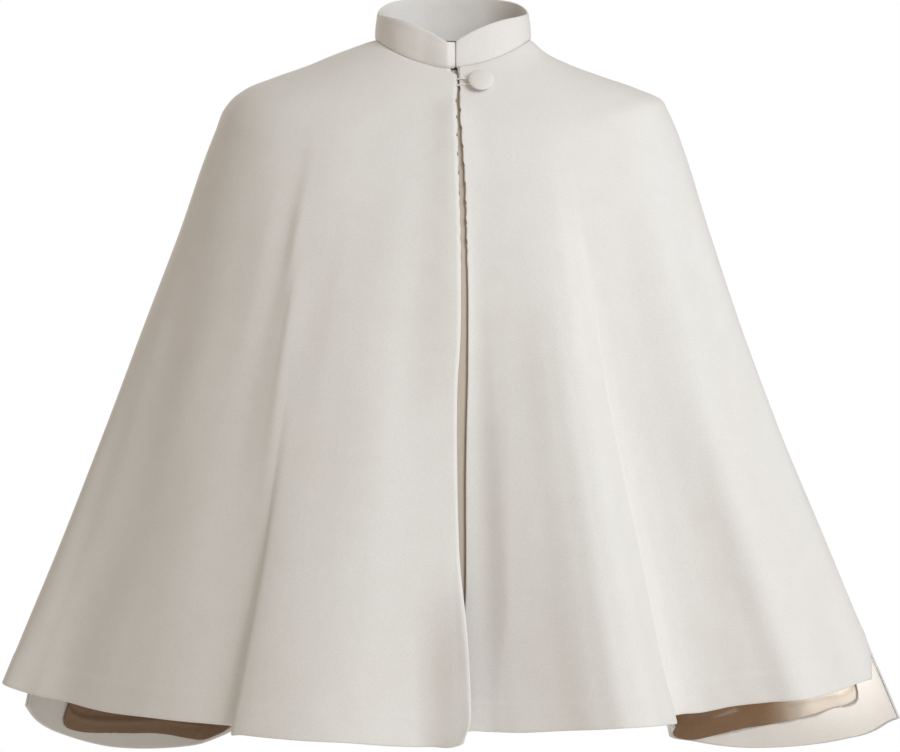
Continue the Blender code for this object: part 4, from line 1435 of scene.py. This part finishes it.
class CAPE_OT_stage(bpy.types.Operator):
    """Set up the pale floor, the soft lights and the camera"""

    bl_idname = "cape.stage"
    bl_label = "Studio"

    def execute(self, context):
        scene = context.scene
        studio = scene.cape_studio
        work = bmesh.new()
        bmesh.ops.create_circle(work, cap_ends=True, segments=96, radius=FLOOR_RADIUS)
        bmesh.ops.translate(work, verts=work.verts, vec=(0, 0, FLOOR_Z))
        mesh = bpy.data.meshes.new("studio_floor")
        work.to_mesh(mesh)
        work.free()
        new_piece("studio_floor", mesh, finish("floor"))

        for name, place, aim, size, colour in (
            ("key", (2.35, -2.44, 1.16), CAPE_MIDDLE, (1.9, 1.9), (0.885, 0.945, 1.0)),
            ("fill", (-0.4, -3.6, 0.3), CAPE_MIDDLE, (1.6, 1.6), (1.0, 0.95, 0.9)),
            ("back", (-2.2, 3.0, 1.3), CAPE_MIDDLE, (2.0, 2.0), (1.0, 0.98, 0.95)),
            ("hem", (0.31, 0.03, -0.62), HEM_LAMP_AIM, (0.06, 0.05), (1.0, 0.97, 0.93)),
        ):
            area_light(name + "_light", place, aim, size, getattr(studio, name), colour)
        bpy.data.objects["hem_light"].visible_camera = False

        world = bpy.data.worlds.new("studio_light")
        world.use_nodes = True
        tree = world.node_tree
        tree.nodes.clear()
        facts = {"Color": AMBIENT_COLOUR, "Strength": studio.ambient}
        soft = add_node(tree, "ShaderNodeBackground", facts).outputs["Background"]
        facts = {"Color": WHITE, "Strength": 1.0}
        white = add_node(tree, "ShaderNodeBackground", facts).outputs["Background"]
        seen = add_node(tree, "ShaderNodeLightPath").outputs["Is Camera Ray"]
        both = add_node(tree, "ShaderNodeMixShader", {0: seen, 1: soft, 2: white})
        output = tree.nodes.new("ShaderNodeOutputWorld")
        tree.links.new(both.outputs["Shader"], output.inputs["Surface"])
        scene.world = world

        camera = bpy.data.cameras.new("camera")
        camera.lens = 120.0
        camera.sensor_width = 36.0
        camera.clip_end = 50.0
        eye = bpy.data.objects.new("camera", camera)
        eye.location = CAMERA_PLACE
        eye.rotation_euler = (math.pi / 2, 0.0, 0.0)
        scene.collection.objects.link(eye)
        scene.camera = eye
        scene.view_settings.view_transform = "Standard"
        return {"FINISHED"}


OPERATORS = (
    CAPE_OT_fronts,
    CAPE_OT_sides,
    CAPE_OT_back,
    CAPE_OT_inside,
    CAPE_OT_underlap,
    CAPE_OT_collar,
    CAPE_OT_button,
    CAPE_OT_loop,
    CAPE_OT_stitches,
    CAPE_OT_stage,
)


class CAPE_PT_panel(bpy.types.Panel):
    """Lists the cape's pieces and settings"""

    bl_idname = "CAPE_PT_panel"
    bl_label = "Short wool cape"
    bl_space_type = "VIEW_3D"
    bl_region_type = "UI"
    bl_category = "Cape"

    def draw(self, context):
        layout = self.layout
        for group in SETTINGS:
            settings = getattr(context.scene, group)
            box = layout.box()
            for name in settings.__annotations__:
                box.prop(settings, name)
        for operator in OPERATORS:
            layout.operator(operator.bl_idname)


SETTINGS = {
    "cape_cloth": CapeCloth,
    "cape_trim": CapeTrim,
    "cape_colours": CapeColours,
    "cape_studio": CapeStudio,
}


def register():
    for made in (*SETTINGS.values(), *OPERATORS, CAPE_PT_panel):
        bpy.utils.register_class(made)
    for name, group in SETTINGS.items():
        setattr(bpy.types.Scene, name, bpy.props.PointerProperty(type=group))


def unregister():
    for name in SETTINGS:
        delattr(bpy.types.Scene, name)
    for made in reversed((*SETTINGS.values(), *OPERATORS, CAPE_PT_panel)):
        bpy.utils.unregister_class(made)


def main():
    register()
    bpy.ops.cape.fronts()
    bpy.ops.cape.sides()
    bpy.ops.cape.back()
    bpy.ops.cape.inside()
    bpy.ops.cape.underlap()
    bpy.ops.cape.collar()
    bpy.ops.cape.button()
    bpy.ops.cape.loop()
    bpy.ops.cape.stitches()
    bpy.ops.cape.stage()


if __name__ == "__main__":
    main()
